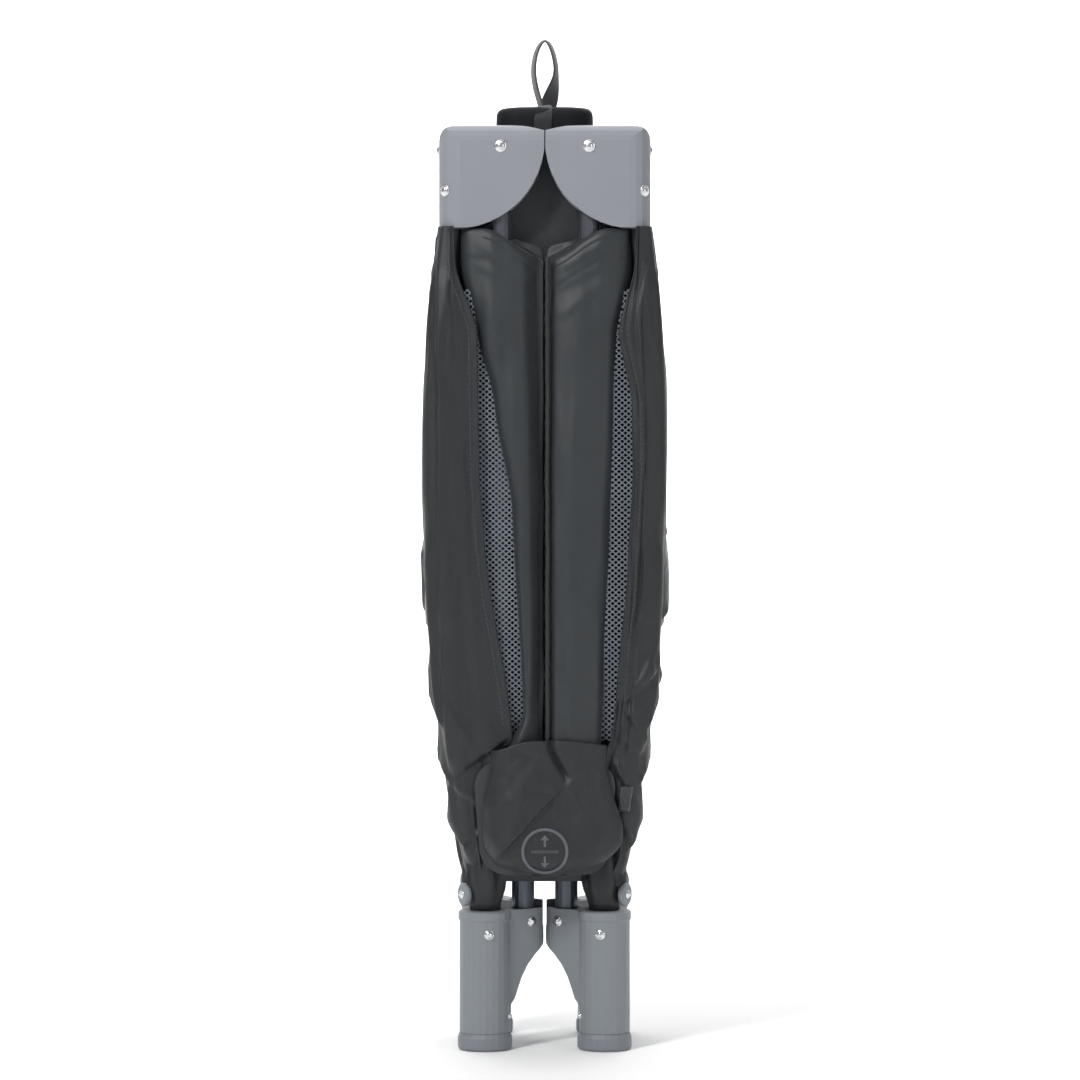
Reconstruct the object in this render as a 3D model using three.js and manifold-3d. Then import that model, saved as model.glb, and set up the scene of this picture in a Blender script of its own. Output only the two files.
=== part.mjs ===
// Folding playpen (travel cot), folded and standing upright. Millimetres, +Z up.
// Front is -Y, left is -X. The folded bundle stands on z = 0, centred on the Z axis.
import * as THREE from 'three';
import { mergeVertices } from 'three/addons/utils/BufferGeometryUtils.js';
import Module from 'manifold-3d';

const wasm = await Module();
wasm.setup();

// Driving dimensions
const HALF_LONG = 536;         // half rail of the long side, pivot to pivot
const HALF_SHORT = 340;        // half rail of the short side, pivot to pivot
const POST_X = 50.5;           // folded post axis, across
const POST_Y = 51;             // folded post axis, front to back
const POST_R = 9.5;            // corner post tube radius
const TUBE_R = 9.5;            // floor tube radius
const RAIL_R = 8.5;            // top rail tube radius
const PIN_R = 3;               // pivot pin radius
const PIN_GAP = 0.4;           // play of a tube on its pin
const GAP = 0.3;               // gap between touching pieces
const WALL = 3.5;              // wall of brackets and latch housings
const RAIL_PLAY = 1;           // rail to slot wall
const TUBE_PLAY = 0.8;         // floor tube to slot wall
const PIVOT_IN = 37;           // rail pivot from the centre plane
const PIVOT_DROP = 20;         // rail pivot below the bracket top
const BRACKET_H = 89;          // height of a corner bracket
const FOOT_PIVOT_Z = 106;      // floor tube pivot height at the feet
const ARM_TIP = 4.1;           // end arc centre of the foot arm beyond its pivot
const PAD_H = 14;              // height of the foot pad
const LATCH_R = 22;            // latch outline radius round a pivot
const LATCH_DROP = 74;         // latch bottom below its pivots
const LATCH_CLEAR = 33;        // folded latch above the feet
const BUTTON_R = 15;           // latch button radius
const BUTTON_DROP = 52;        // latch button below the pivots
const BUTTON_TRAVEL = 4;       // press travel of the button
const HUB_RISE = 55;           // hub top above its pivots
const HUB_SKIRT = 16;          // hub bottom below its pivots
const LEG_R = 14;              // hub leg radius
const LEG_CLEAR = 4.3;         // hub leg pad to floor tube
const STRAP_W = 22;            // webbing width
const STRAP_H = 63;            // pull loop height above the hub
const SLEEVE_IN = 8;           // rail sleeve edge from the centre plane
const SLEEVE_PROUD = 5;        // rail sleeve face outside the brackets
const CLOTH = 2;               // post sleeve thickness
const ROUND = 20;              // facets round a tube

// Derived dimensions
const POST_SLEEVE_R = POST_R + CLOTH;
const FOOT_R = POST_R + 12;
const FOOT_TOP = FOOT_PIVOT_Z + TUBE_R + 1.5;
const ARM_HALF = TUBE_R + TUBE_PLAY + 3.7;
const HEIGHT = FOOT_TOP + LATCH_CLEAR + LATCH_DROP + HALF_LONG + PIVOT_DROP;
const TUBE_LEN = Math.hypot(HALF_LONG, HALF_SHORT);
const DIR_X = HALF_LONG / TUBE_LEN;
const DIR_Y = HALF_SHORT / TUBE_LEN;
const ARM_REACH = Math.min((POST_X - ARM_HALF - 1) / DIR_X, (POST_Y - ARM_HALF - 1) / DIR_Y);
const FOOT_ARM = ARM_REACH - ARM_TIP;   // post axis to floor tube pivot, plan
const TUBE_X = POST_X - FOOT_ARM * DIR_X;
const TUBE_Y = POST_Y - FOOT_ARM * DIR_Y;
const HUB_PIVOT_Z = FOOT_PIVOT_Z + TUBE_LEN;
const LEG_PAD_R = Math.hypot(TUBE_X, TUBE_Y) - TUBE_R - LEG_CLEAR;
const HUB_X = TUBE_X + TUBE_R + 12.5;
const HUB_Y = TUBE_Y + TUBE_R + 7.8;
const RAIL_PIVOT_Z = HEIGHT - PIVOT_DROP;
const SHELL_BOTTOM = HEIGHT - BRACKET_H;
const WING = 2 * (RAIL_R + RAIL_PLAY + WALL);
const WING_IN = Math.max(POST_X, POST_Y) + POST_SLEEVE_R + 0.5;
const SHELL = WING_IN + WING;
const RAIL_PLANE = SHELL - WING / 2;
const SLOT_OUT = SHELL - WALL;
const SLOT_IN = WING_IN + WALL;
const SLEEVE_INNER = RAIL_PLANE - RAIL_R - 1.9;
const SLEEVE_FACE = SHELL + SLEEVE_PROUD;
const SLEEVE_OUT = SLEEVE_INNER - 3.6;
const HUB_TOP = HUB_PIVOT_Z + HUB_RISE;
const HUB_BOTTOM = HUB_PIVOT_Z - HUB_SKIRT;
const LEG_BOTTOM = HUB_PIVOT_Z - FOOT_PIVOT_Z + 0.5;

const CORNERS = [
  ['front_left', -1, -1],
  ['front_right', 1, -1],
  ['back_left', -1, 1],
  ['back_right', 1, 1],
];

const COLOURS = {
  shell: [0x92959e, 0.45, 0.0],
  foot: [0x868c93, 0.5, 0.0],
  pad: [0x7c8189, 0.7, 0.0],
  tube: [0x484c56, 0.35, 0.6],
  rail: [0x6b6f78, 0.3, 0.7],
  hub: [0x232528, 0.6, 0.0],
  button: [0x55585d, 0.5, 0.0],
  fabric: [0x3e4244, 0.85, 0.0],
  lining: [0x34383a, 0.9, 0.0],
  webbing: [0x4a4d50, 0.9, 0.0],
};

const group = new THREE.Group();
group.name = 'playpen';

// Solid helpers
function solid(geometry) {
  const g = geometry.index ? geometry.clone() : geometry;
  g.deleteAttribute('normal');
  g.deleteAttribute('uv');
  const m = mergeVertices(g, 1e-4);
  const mesh = new wasm.Mesh({
    numProp: 3,
    vertProperties: new Float32Array(m.attributes.position.array),
    triVerts: new Uint32Array(m.index.array),
  });
  return new wasm.Manifold(mesh);
}

function geometryOf(body) {
  const mesh = body.getMesh();
  const g = new THREE.BufferGeometry();
  g.setAttribute('position', new THREE.BufferAttribute(new Float32Array(mesh.vertProperties), 3));
  g.setIndex(new THREE.BufferAttribute(new Uint32Array(mesh.triVerts), 1));
  const flat = g.toNonIndexed();
  flat.computeVertexNormals();
  return flat;
}

function put(name, body, look) {
  const [color, roughness, metalness] = COLOURS[look];
  const material = new THREE.MeshStandardMaterial({ color, roughness, metalness });
  material.name = `${name}_material`;
  const mesh = new THREE.Mesh(geometryOf(body), material);
  mesh.name = name;
  group.add(mesh);
}

function box(x0, x1, y0, y1, z0, z1) {
  const g = new THREE.BoxGeometry(Math.abs(x1 - x0), Math.abs(y1 - y0), Math.abs(z1 - z0));
  g.translate((x0 + x1) / 2, (y0 + y1) / 2, (z0 + z1) / 2);
  return solid(g);
}

// Cylinder of radius r from point a to point b.
function rod(a, b, r, segments = ROUND) {
  const from = new THREE.Vector3(...a);
  const to = new THREE.Vector3(...b);
  const axis = to.clone().sub(from);
  const g = new THREE.CylinderGeometry(r, r, axis.length(), segments, 1);
  const turn = new THREE.Quaternion();
  turn.setFromUnitVectors(new THREE.Vector3(0, 1, 0), axis.clone().normalize());
  g.applyQuaternion(turn);
  const mid = from.add(to).multiplyScalar(0.5);
  g.translate(mid.x, mid.y, mid.z);
  return solid(g);
}

// Upright tube with round ends centred on the two pivots.
function capsule(x, y, z0, z1, r) {
  const g = new THREE.CapsuleGeometry(r, z1 - z0, 2, 16, 1);
  g.rotateX(Math.PI / 2);
  g.translate(x, y, (z0 + z1) / 2);
  return solid(g);
}

function turned(points, x, y, segments = 32) {
  const profile = points.map(([r, z]) => new THREE.Vector2(r, z));
  profile.push(profile[0].clone());
  const g = new THREE.LatheGeometry(profile, segments);
  g.rotateX(Math.PI / 2);
  g.translate(x, y, 0);
  return solid(g);
}

function shapeOf(points) {
  return new THREE.Shape(points.map(([a, b]) => new THREE.Vector2(a, b)));
}

// Outline in plan, extruded upward.
function prismZ(shape, z0, z1) {
  const g = new THREE.ExtrudeGeometry(shape, { depth: z1 - z0, bevelEnabled: false, curveSegments: 8 });
  g.translate(0, 0, z0);
  return solid(g);
}

// Outline in the (x, z) plane, extruded from y0 to y1.
function prismY(points, y0, y1) {
  const g = new THREE.ExtrudeGeometry(shapeOf(points), { depth: Math.abs(y1 - y0), bevelEnabled: false });
  g.rotateX(Math.PI / 2);
  g.translate(0, Math.max(y0, y1), 0);
  return solid(g);
}

// Outline in the (y, z) plane, extruded from x0 to x1.
function prismX(points, x0, x1) {
  const g = new THREE.ExtrudeGeometry(shapeOf(points), { depth: Math.abs(x1 - x0), bevelEnabled: false });
  g.rotateX(Math.PI / 2);
  g.rotateZ(Math.PI / 2);
  g.translate(Math.min(x0, x1), 0, 0);
  return solid(g);
}

function arc(cx, cz, r, from, to, steps) {
  const points = [];
  for (let i = 0; i <= steps; i += 1) {
    const a = THREE.MathUtils.degToRad(from + (to - from) * i / steps);
    points.push([cx + r * Math.cos(a), cz + r * Math.sin(a)]);
  }
  return points;
}

function flip(points, sign) {
  return points.map(([a, z]) => [a * sign, z]);
}

function roundedRect(x0, x1, y0, y1, r) {
  const points = [
    ...arc(x1 - r, y1 - r, r, 0, 90, 5),
    ...arc(x0 + r, y1 - r, r, 90, 180, 5),
    ...arc(x0 + r, y0 + r, r, 180, 270, 5),
    ...arc(x1 - r, y0 + r, r, 270, 360, 5),
  ];
  return points;
}

// Corner brackets
function bracketOutline() {
  const top = [];
  const curve = new THREE.QuadraticBezierCurve(
    new THREE.Vector2(0.5, HEIGHT - 6.5),
    new THREE.Vector2(36, HEIGHT + 4),
    new THREE.Vector2(SHELL - 13, HEIGHT - 2),
  );
  for (const p of curve.getPoints(9)) top.push([p.x, p.y]);
  const shoulder = arc(SHELL - 13, HEIGHT - 15, 13, 78, 0, 4);
  const sweepR = SHELL - 14;
  const cx = SHELL - 14;
  const end = THREE.MathUtils.radToDeg(Math.acos((0.5 - cx) / sweepR));
  const under = arc(cx, SHELL_BOTTOM + sweepR, sweepR, -82, -end, 12);
  return [...top, ...shoulder, [SHELL, SHELL_BOTTOM + 1], ...under];
}

function bracket(name, sx, sy) {
  const outline = bracketOutline();
  const across = flip(outline, sx);
  const along = flip(outline, sy);
  const px = sx * POST_X;
  const py = sy * POST_Y;
  let body = prismY(across, sy * WING_IN, sy * SHELL);
  body = body.add(prismX(along, sx * WING_IN, sx * SHELL));
  body = body.add(box(px, sx * (SHELL - 2), py, sy * (SHELL - 2), SHELL_BOTTOM + 2, HEIGHT - 4));
  body = body.add(rod([px, py, SHELL_BOTTOM], [px, py, HEIGHT - 14], 13.5, 20));
  const plan = roundedRect(-SHELL, SHELL, -SHELL, SHELL, 18);
  body = body.intersect(prismZ(shapeOf(plan), 0, HEIGHT + 20));
  body = body.intersect(prismY(across, -200, 200));
  body = body.intersect(prismX(along, -200, 200));
  const roof = RAIL_PIVOT_Z + RAIL_R + RAIL_PLAY;
  const heel = PIVOT_IN + RAIL_R + RAIL_PLAY;
  body = body.subtract(box(sx * heel, -sx, sy * SLOT_IN, sy * SLOT_OUT, SHELL_BOTTOM - 10, roof));
  body = body.subtract(box(sx * SLOT_IN, sx * SLOT_OUT, sy * heel, -sy, SHELL_BOTTOM - 10, roof));
  body = body.subtract(rod([px, py, SHELL_BOTTOM - 5], [px, py, HEIGHT - 23], POST_R + GAP, 20));
  const z = RAIL_PIVOT_Z;
  const a = WING_IN + 1.5;
  const b = SHELL - 1.5;
  body = body.add(rod([sx * PIVOT_IN, sy * a, z], [sx * PIVOT_IN, sy * b, z], PIN_R, 12));
  body = body.add(rod([sx * a, sy * PIVOT_IN, z], [sx * b, sy * PIVOT_IN, z], PIN_R, 12));
  put(`corner_bracket_${name}`, body, 'shell');
}

// Corner posts
function post(name, sx, sy) {
  const x = sx * POST_X;
  const y = sy * POST_Y;
  put(`post_${name}`, rod([x, y, PAD_H + 26], [x, y, HEIGHT - 25], POST_R, 20), 'tube');
  const ring = new THREE.Shape();
  ring.absarc(0, 0, POST_SLEEVE_R, 0, Math.PI * 2, false);
  const bore = new THREE.Path();
  bore.absarc(0, 0, POST_R + GAP, 0, Math.PI * 2, true);
  ring.holes.push(bore);
  const z0 = FOOT_TOP + 0.6;
  const z1 = SHELL_BOTTOM - 1;
  const g = new THREE.ExtrudeGeometry(ring, { depth: z1 - z0, bevelEnabled: false, curveSegments: 10 });
  g.translate(x, y, z0);
  put(`post_sleeve_${name}`, solid(g), 'fabric');
}

// Feet
function foot(name, sx, sy) {
  const px = sx * POST_X;
  const py = sy * POST_Y;
  const turn = Math.atan2(-sy * DIR_Y, -sx * DIR_X);
  const base = PAD_H + GAP;
  let body = turned([
    [0, base], [FOOT_R, base], [FOOT_R, FOOT_TOP - 9], [FOOT_R + 1, FOOT_TOP - 7],
    [FOOT_R + 1, FOOT_TOP - 1], [FOOT_R - 0.5, FOOT_TOP], [0, FOOT_TOP],
  ], 0, 0, 24);
  const plan = [
    ...arc(0, 0, ARM_HALF, 90, 270, 6),
    ...arc(ARM_REACH, 0, ARM_HALF, -90, 90, 12),
  ];
  const tip = ARM_REACH + ARM_HALF + 2;
  const side = [
    [0, 34], [16, 36], [21, 42], [24, 50], [28, 60], [34, 70], [42, 79], [50, 85],
    [tip, 90], [tip, FOOT_TOP], [0, FOOT_TOP],
  ];
  let arm = prismZ(shapeOf(plan), base, FOOT_TOP);
  arm = arm.intersect(prismY(side, -ARM_HALF - 5, ARM_HALF + 5));
  body = body.add(arm);
  const clear = TUBE_R + TUBE_PLAY;
  const floor = FOOT_PIVOT_Z - TUBE_R - 1.2;
  body = body.subtract(box(FOOT_ARM - clear, tip + 5, -clear, clear, floor, FOOT_TOP + 5));
  const pin = ARM_HALF - 1.5;
  body = body.add(rod([FOOT_ARM, -pin, FOOT_PIVOT_Z], [FOOT_ARM, pin, FOOT_PIVOT_Z], PIN_R, 12));
  body = body.subtract(rod([0, 0, PAD_H + 25], [0, 0, FOOT_TOP + 5], POST_R + GAP, 20));
  body = body.rotate([0, 0, THREE.MathUtils.radToDeg(turn)]).translate([px, py, 0]);
  put(`foot_${name}`, body, 'foot');
  const pad = turned([
    [0, 0], [FOOT_R + 0.5, 0], [FOOT_R + 1.5, 2], [FOOT_R + 1.5, PAD_H - 4],
    [FOOT_R, PAD_H], [0, PAD_H],
  ], px, py, 24);
  put(`foot_pad_${name}`, pad, 'pad');
}

// Floor tubes
function floorTube(name, sx, sy) {
  const x = sx * TUBE_X;
  const y = sy * TUBE_Y;
  let body = capsule(x, y, FOOT_PIVOT_Z, HUB_PIVOT_Z, TUBE_R);
  const nx = -sy * DIR_Y * 20;
  const ny = sx * DIR_X * 20;
  for (const z of [FOOT_PIVOT_Z, HUB_PIVOT_Z]) {
    body = body.subtract(rod([x - nx, y - ny, z], [x + nx, y + ny, z], PIN_R + PIN_GAP, 12));
  }
  put(`floor_tube_${name}`, body, 'tube');
}

// Central floor hub with its leg and pull strap
function hub() {
  const plan = roundedRect(-HUB_X, HUB_X, -HUB_Y, HUB_Y, 22);
  const inner = roundedRect(-HUB_X + 4, HUB_X - 4, -HUB_Y + 4, HUB_Y - 4, 19);
  let body = prismZ(shapeOf(plan), HUB_BOTTOM, HUB_TOP - 5);
  body = body.add(prismZ(shapeOf(inner), HUB_TOP - 20, HUB_TOP));
  const clear = TUBE_R + TUBE_PLAY;
  const roof = HUB_PIVOT_Z + TUBE_R + 1.2;
  for (const [, sx, sy] of CORNERS) {
    const turn = THREE.MathUtils.radToDeg(Math.atan2(sy * DIR_Y, sx * DIR_X));
    let slot = box(-clear, 60, -clear, clear, HUB_BOTTOM - 5, roof);
    slot = slot.rotate([0, 0, turn]).translate([sx * TUBE_X, sy * TUBE_Y, 0]);
    body = body.subtract(slot);
  }
  for (const [, sx, sy] of CORNERS) {
    const x = sx * TUBE_X;
    const y = sy * TUBE_Y;
    const nx = -sy * DIR_Y * (clear + 2);
    const ny = sx * DIR_X * (clear + 2);
    const z = HUB_PIVOT_Z;
    body = body.add(rod([x - nx, y - ny, z], [x + nx, y + ny, z], PIN_R, 12));
  }
  body = body.subtract(box(-4, 4, -STRAP_W / 2 - 1, STRAP_W / 2 + 1, HUB_TOP - 9, HUB_TOP + 5));
  body = body.subtract(rod([0, 0, HUB_BOTTOM - 5], [0, 0, HUB_BOTTOM + 8], 8.3, 24));
  put('hub', body, 'hub');
  const leg = turned([
    [0, LEG_BOTTOM], [LEG_PAD_R - 1, LEG_BOTTOM], [LEG_PAD_R, LEG_BOTTOM + 2],
    [LEG_PAD_R, LEG_BOTTOM + 6], [LEG_R, LEG_BOTTOM + 12], [LEG_R, HUB_BOTTOM - GAP],
    [8, HUB_BOTTOM - GAP], [8, HUB_BOTTOM + 7], [0, HUB_BOTTOM + 7],
  ], 0, 0, 20);
  put('hub_leg', leg, 'hub');
}

function strapOutline(inset) {
  const r = 10.5 - inset;
  const cz = HUB_TOP + STRAP_H - 10.5;
  const points = arc(0, cz, r, -8, 188, 14);
  const foot = inset > 0 ? HUB_TOP + 14 : HUB_TOP - 8;
  const half = inset > 0 ? 0.5 : 3;
  points.push([-5.5 + inset, HUB_TOP + 26]);
  points.push([-half, foot]);
  points.push([half, foot]);
  points.push([5.5 - inset, HUB_TOP + 26]);
  return points;
}

function strap() {
  let body = prismY(strapOutline(0), -STRAP_W / 2, STRAP_W / 2);
  body = body.subtract(prismY(strapOutline(2), -STRAP_W, STRAP_W));
  put('pull_strap', body, 'webbing');
}

// One folded side: two half rails, their padded sleeves, the centre latch and its button.
// The outline plane is (across, z); "face" turns it to the front, back, left or right.
function sideFace(name, half, dir, names) {
  const long = dir === 'y';
  const z1 = RAIL_PIVOT_Z;
  const z0 = RAIL_PIVOT_Z - half;
  const sign = name === 'front' || name === 'left' ? -1 : 1;
  const plane = sign * RAIL_PLANE;
  const at = (a, d, z) => (long ? [a, d, z] : [d, a, z]);
  const slab = (points, d0, d1) => (long ? prismY(points, d0, d1) : prismX(points, d0, d1));
  const block = (a0, a1, d0, d1, b0, b1) => (
    long ? box(a0, a1, d0, d1, b0, b1) : box(d0, d1, a0, a1, b0, b1)
  );
  for (const s of [-1, 1]) {
    const end = names[s < 0 ? 0 : 1];
    const a = s * PIVOT_IN;
    const [x, y] = at(a, plane, 0);
    let rail = capsule(x, y, z0, z1, RAIL_R);
    for (const z of [z0, z1]) {
      rail = rail.subtract(rod(at(a, plane - 20, z), at(a, plane + 20, z), PIN_R + PIN_GAP, 12));
    }
    put(`rail_${name}_${end}`, rail, 'rail');
    const u0 = Math.min(s * SLEEVE_IN, s * SLEEVE_OUT);
    const u1 = Math.max(s * SLEEVE_IN, s * SLEEVE_OUT);
    const v0 = Math.min(sign * SLEEVE_INNER, sign * SLEEVE_FACE);
    const v1 = Math.max(sign * SLEEVE_INNER, sign * SLEEVE_FACE);
    const plan = long ? roundedRect(u0, u1, v0, v1, 9) : roundedRect(v0, v1, u0, u1, 9);
    const shape = shapeOf(plan);
    const bore = new THREE.Path();
    bore.absarc(x, y, RAIL_R + GAP, 0, Math.PI * 2, true);
    shape.holes.push(bore);
    put(`rail_sleeve_${name}_${end}`, prismZ(shape, z0 + LATCH_R + 4, SHELL_BOTTOM - 3), 'fabric');
  }
  latch(name, sign, z0, at, slab, block);
}

function latch(name, sign, pz, at, slab, block) {
  const outline = [
    ...arc(PIVOT_IN, pz, LATCH_R, 0, 90, 5),
    ...arc(-PIVOT_IN, pz, LATCH_R, 90, 180, 5),
    ...arc(-31, pz - LATCH_DROP + 24, 24, 190, 262, 5),
    ...arc(31, pz - LATCH_DROP + 24, 24, 278, 350, 5),
  ];
  let body = slab(outline, sign * WING_IN, sign * SHELL);
  const inner = PIVOT_IN - RAIL_R - RAIL_PLAY;
  for (const s of [-1, 1]) {
    const d0 = sign * SLOT_IN;
    const d1 = sign * SLOT_OUT;
    body = body.subtract(block(s * inner, s * 70, d0, d1, pz - RAIL_R - RAIL_PLAY, pz + 40));
  }
  for (const s of [-1, 1]) {
    const a = s * PIVOT_IN;
    body = body.add(rod(at(a, sign * (WING_IN + 1.5), pz), at(a, sign * (SHELL - 1.5), pz), PIN_R, 12));
  }
  const bz = pz - BUTTON_DROP;
  const seat = sign * (SHELL - 10 - BUTTON_TRAVEL);
  body = body.subtract(rod(at(0, seat, bz), at(0, sign * (SHELL + 5), bz), BUTTON_R + 0.5, 24));
  put(`latch_${name}`, body, 'shell');
  const back = sign * (SHELL - 9);
  put(`latch_button_${name}`, rod(at(0, back, bz), at(0, sign * (SHELL + 1.5), bz), BUTTON_R, 24), 'button');
}

// Pleated soft panel in plan, half width w across, centred on depth c, extruded upward.
function pleats(w, c, swing, thick, folds, swap) {
  const near = [];
  const far = [];
  for (let i = 0; i <= folds; i += 1) {
    const a = -w + 2 * w * i / folds;
    const d = c + (i % 2 ? swing : -swing);
    near.push([a, d - thick / 2]);
    far.push([a, d + thick / 2]);
  }
  const outline = [...near, ...far.reverse()];
  return shapeOf(swap ? outline.map(([a, d]) => [d, a]) : outline);
}

function walls() {
  const z0 = FOOT_TOP + 35;
  const z1 = SHELL_BOTTOM - 2;
  const frontDepth = (TUBE_Y + TUBE_R + WING_IN) / 2;
  const sideDepth = (TUBE_X + TUBE_R + WING_IN) / 2;
  const wide = POST_X - POST_SLEEVE_R - 2;
  const deep = POST_Y - POST_SLEEVE_R - 2;
  for (const [name, s] of [['front', -1], ['back', 1]]) {
    put(`wall_${name}`, prismZ(pleats(wide, s * frontDepth, 4, 7, 8, false), z0, z1), 'lining');
  }
  for (const [name, s] of [['left', -1], ['right', 1]]) {
    put(`wall_${name}`, prismZ(pleats(deep, s * sideDepth, 6, 8, 8, true), z0, z1), 'lining');
  }
}

function floorSheets() {
  const z0 = FOOT_TOP + 6;
  const z1 = HUB_BOTTOM - 4;
  const gapX = TUBE_X - TUBE_R - 1.5;
  const gapY = TUBE_Y - TUBE_R - 1.5;
  for (const [name, s] of [['front', -1], ['back', 1]]) {
    put(`floor_sheet_${name}`, prismZ(pleats(gapX, s * TUBE_Y, 2, 4, 4, false), z0, z1), 'lining');
  }
  for (const [name, s] of [['left', -1], ['right', 1]]) {
    put(`floor_sheet_${name}`, prismZ(pleats(gapY, s * (LEG_PAD_R + 6), 1, 4, 4, true), z0, z1), 'lining');
  }
}

for (const [name, sx, sy] of CORNERS) {
  post(name, sx, sy);
  bracket(name, sx, sy);
  foot(name, sx, sy);
  floorTube(name, sx, sy);
}
hub();
strap();
sideFace('front', HALF_LONG, 'y', ['left', 'right']);
sideFace('back', HALF_LONG, 'y', ['left', 'right']);
sideFace('left', HALF_SHORT, 'x', ['front', 'back']);
sideFace('right', HALF_SHORT, 'x', ['front', 'back']);
walls();
floorSheets();

export default group;
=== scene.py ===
import math

import bmesh
import bpy
import numpy as np
from mathutils import Matrix, Vector, noise


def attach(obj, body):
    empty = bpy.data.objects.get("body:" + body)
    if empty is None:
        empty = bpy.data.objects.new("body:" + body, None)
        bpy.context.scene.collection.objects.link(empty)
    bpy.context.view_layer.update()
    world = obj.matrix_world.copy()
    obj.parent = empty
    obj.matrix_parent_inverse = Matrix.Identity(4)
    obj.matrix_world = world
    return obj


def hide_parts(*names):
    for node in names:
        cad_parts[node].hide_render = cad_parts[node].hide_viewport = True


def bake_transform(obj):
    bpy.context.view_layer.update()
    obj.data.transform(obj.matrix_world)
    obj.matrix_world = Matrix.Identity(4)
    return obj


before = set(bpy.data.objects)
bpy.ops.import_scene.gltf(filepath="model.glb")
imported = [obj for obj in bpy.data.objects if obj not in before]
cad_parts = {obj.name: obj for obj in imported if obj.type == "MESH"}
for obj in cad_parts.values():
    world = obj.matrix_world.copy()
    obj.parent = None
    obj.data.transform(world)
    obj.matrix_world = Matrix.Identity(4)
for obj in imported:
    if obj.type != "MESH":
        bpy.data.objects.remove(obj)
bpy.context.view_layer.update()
MM = 0.001
TAU = 2 * math.pi

CORNERS = {"front_left": (-1, -1), "front_right": (1, -1), "back_left": (-1, 1), "back_right": (1, 1)}
LONG_SIDES = ("front", "back")
POST = (50.5, 51.0)                       # post axis from the centre
HALF_LONG, HALF_SHORT = 536.0, 340.0      # half rails, between their pins
DIAG = math.hypot(HALF_LONG, HALF_SHORT)
DX, DY = HALF_LONG / DIAG, HALF_SHORT / DIAG
ARM = (POST[0] - 15.0) / DX - 4.1         # post axis to the floor tube's pin
TUBE = (POST[0] - ARM * DX, POST[1] - ARM * DY)    # folded floor tube's axis from the centre
FOOT_PIVOT, HUB_PIVOT, RAIL_PIVOT = 106.0, 106.0 + DIAG, 760.0
HUB_TOP = HUB_PIVOT + 55.0
PIVOT_IN, RAIL_PLANE = 37.0, 76.0         # the rails' pins: across from the centre, and outward
BRACKET_FACE = 89.0                       # outer face of the corner brackets


# ---- helpers
def lerp_table(table, x):
    """Reading of ((x, value), ...) with x rising, eased a little around each point."""
    if x <= table[0][0]:
        return table[0][1]
    for (x0, v0), (x1, v1) in zip(table, table[1:]):
        if x <= x1:
            t = (x - x0) / (x1 - x0)
            t = t * t * (3 - 2 * t) * 0.5 + t * 0.5
            return v0 + (v1 - v0) * t
    return table[-1][1]


def smooth(a, b, x):
    """Smooth step of one number, from 0 at a to 1 at b."""
    t = min(1.0, max(0.0, (x - a) / (b - a)))
    return t * t * (3 - 2 * t)


def fuzz(x, y, z, scale=1.0, seed=0.0):
    """Smooth noise at one point."""
    return noise.noise(Vector((x / scale + seed, y / scale - seed * 1.7, z / scale + seed * 0.3)))


def lattice(ix, iy, iz):
    """A fixed value from -1 to 1 for each whole-number place."""
    v = np.sin(ix * 127.1 + iy * 311.7 + iz * 74.7) * 43758.5453
    return (v - np.floor(v)) * 2 - 1


def waves(x, y, z):
    """Smooth value noise from -1 to 1 on arrays."""
    x, y, z = np.broadcast_arrays(np.asarray(x, float), np.asarray(y, float), np.asarray(z, float))
    ix, iy, iz = np.floor(x), np.floor(y), np.floor(z)
    fx, fy, fz = x - ix, y - iy, z - iz
    fx, fy, fz = (f * f * (3 - 2 * f) for f in (fx, fy, fz))
    total = 0.0
    for a in (0, 1):
        for b in (0, 1):
            for c in (0, 1):
                weight = (fx if a else 1 - fx) * (fy if b else 1 - fy) * (fz if c else 1 - fz)
                total = total + weight * lattice(ix + a, iy + b, iz + c)
    return total


def ramp01(a, b, x):
    """Smooth step on arrays, from 0 at a to 1 at b."""
    t = np.clip((x - a) / (b - a), 0, 1)
    return t * t * (3 - 2 * t)


def table_of(table, x):
    """lerp_table on arrays."""
    return np.array([lerp_table(table, v) for v in np.ravel(x)]).reshape(np.shape(x))


def beside(u, z, u0, z0, u1, z1):
    """Length of a fold line, and how far a point lies along it and off it."""
    length = math.hypot(u1 - u0, z1 - z0)
    du, dz = (u1 - u0) / length, (z1 - z0) / length
    return length, (u - u0) * du + (z - z0) * dz, -(u - u0) * dz + (z - z0) * du


def folds(u, z, lines):
    """Height of cloth folds. Each line runs (u0, z0) to (u1, z1); the cloth on its left is lifted by
    height with a crisp edge, and sinks back over spread."""
    total = np.zeros(np.broadcast(u, z).shape)
    for u0, z0, u1, z1, height, spread in lines:
        length, along, off = beside(u, z, u0, z0, u1, z1)
        off = off + 0.9 * waves(along * 0.05, height, u0)
        lift = 1 / (1 + np.exp(-np.clip(off / 0.55, -30, 30)))
        lift = lift * np.exp(-np.maximum(off, 0) / spread)
        fade = ramp01(-2, 0.16 * length + 4, along) * (1 - ramp01(0.84 * length - 4, length + 2, along))
        total += height * lift * fade
    return total


def point_folds(u, z, lines):
    """The same cloth folds at one point, without the wander."""
    total = 0.0
    for u0, z0, u1, z1, height, spread in lines:
        length, along, off = beside(u, z, u0, z0, u1, z1)
        if along < -2 or along > length + 2:
            continue
        lift = math.exp(-max(off, 0.0) / spread) / (1 + math.exp(-max(-30.0, min(30.0, off / 1.1))))
        fade = smooth(-2, 0.16 * length + 4, along) * (1 - smooth(0.84 * length - 4, length + 2, along))
        total += height * lift * fade
    return total


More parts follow.
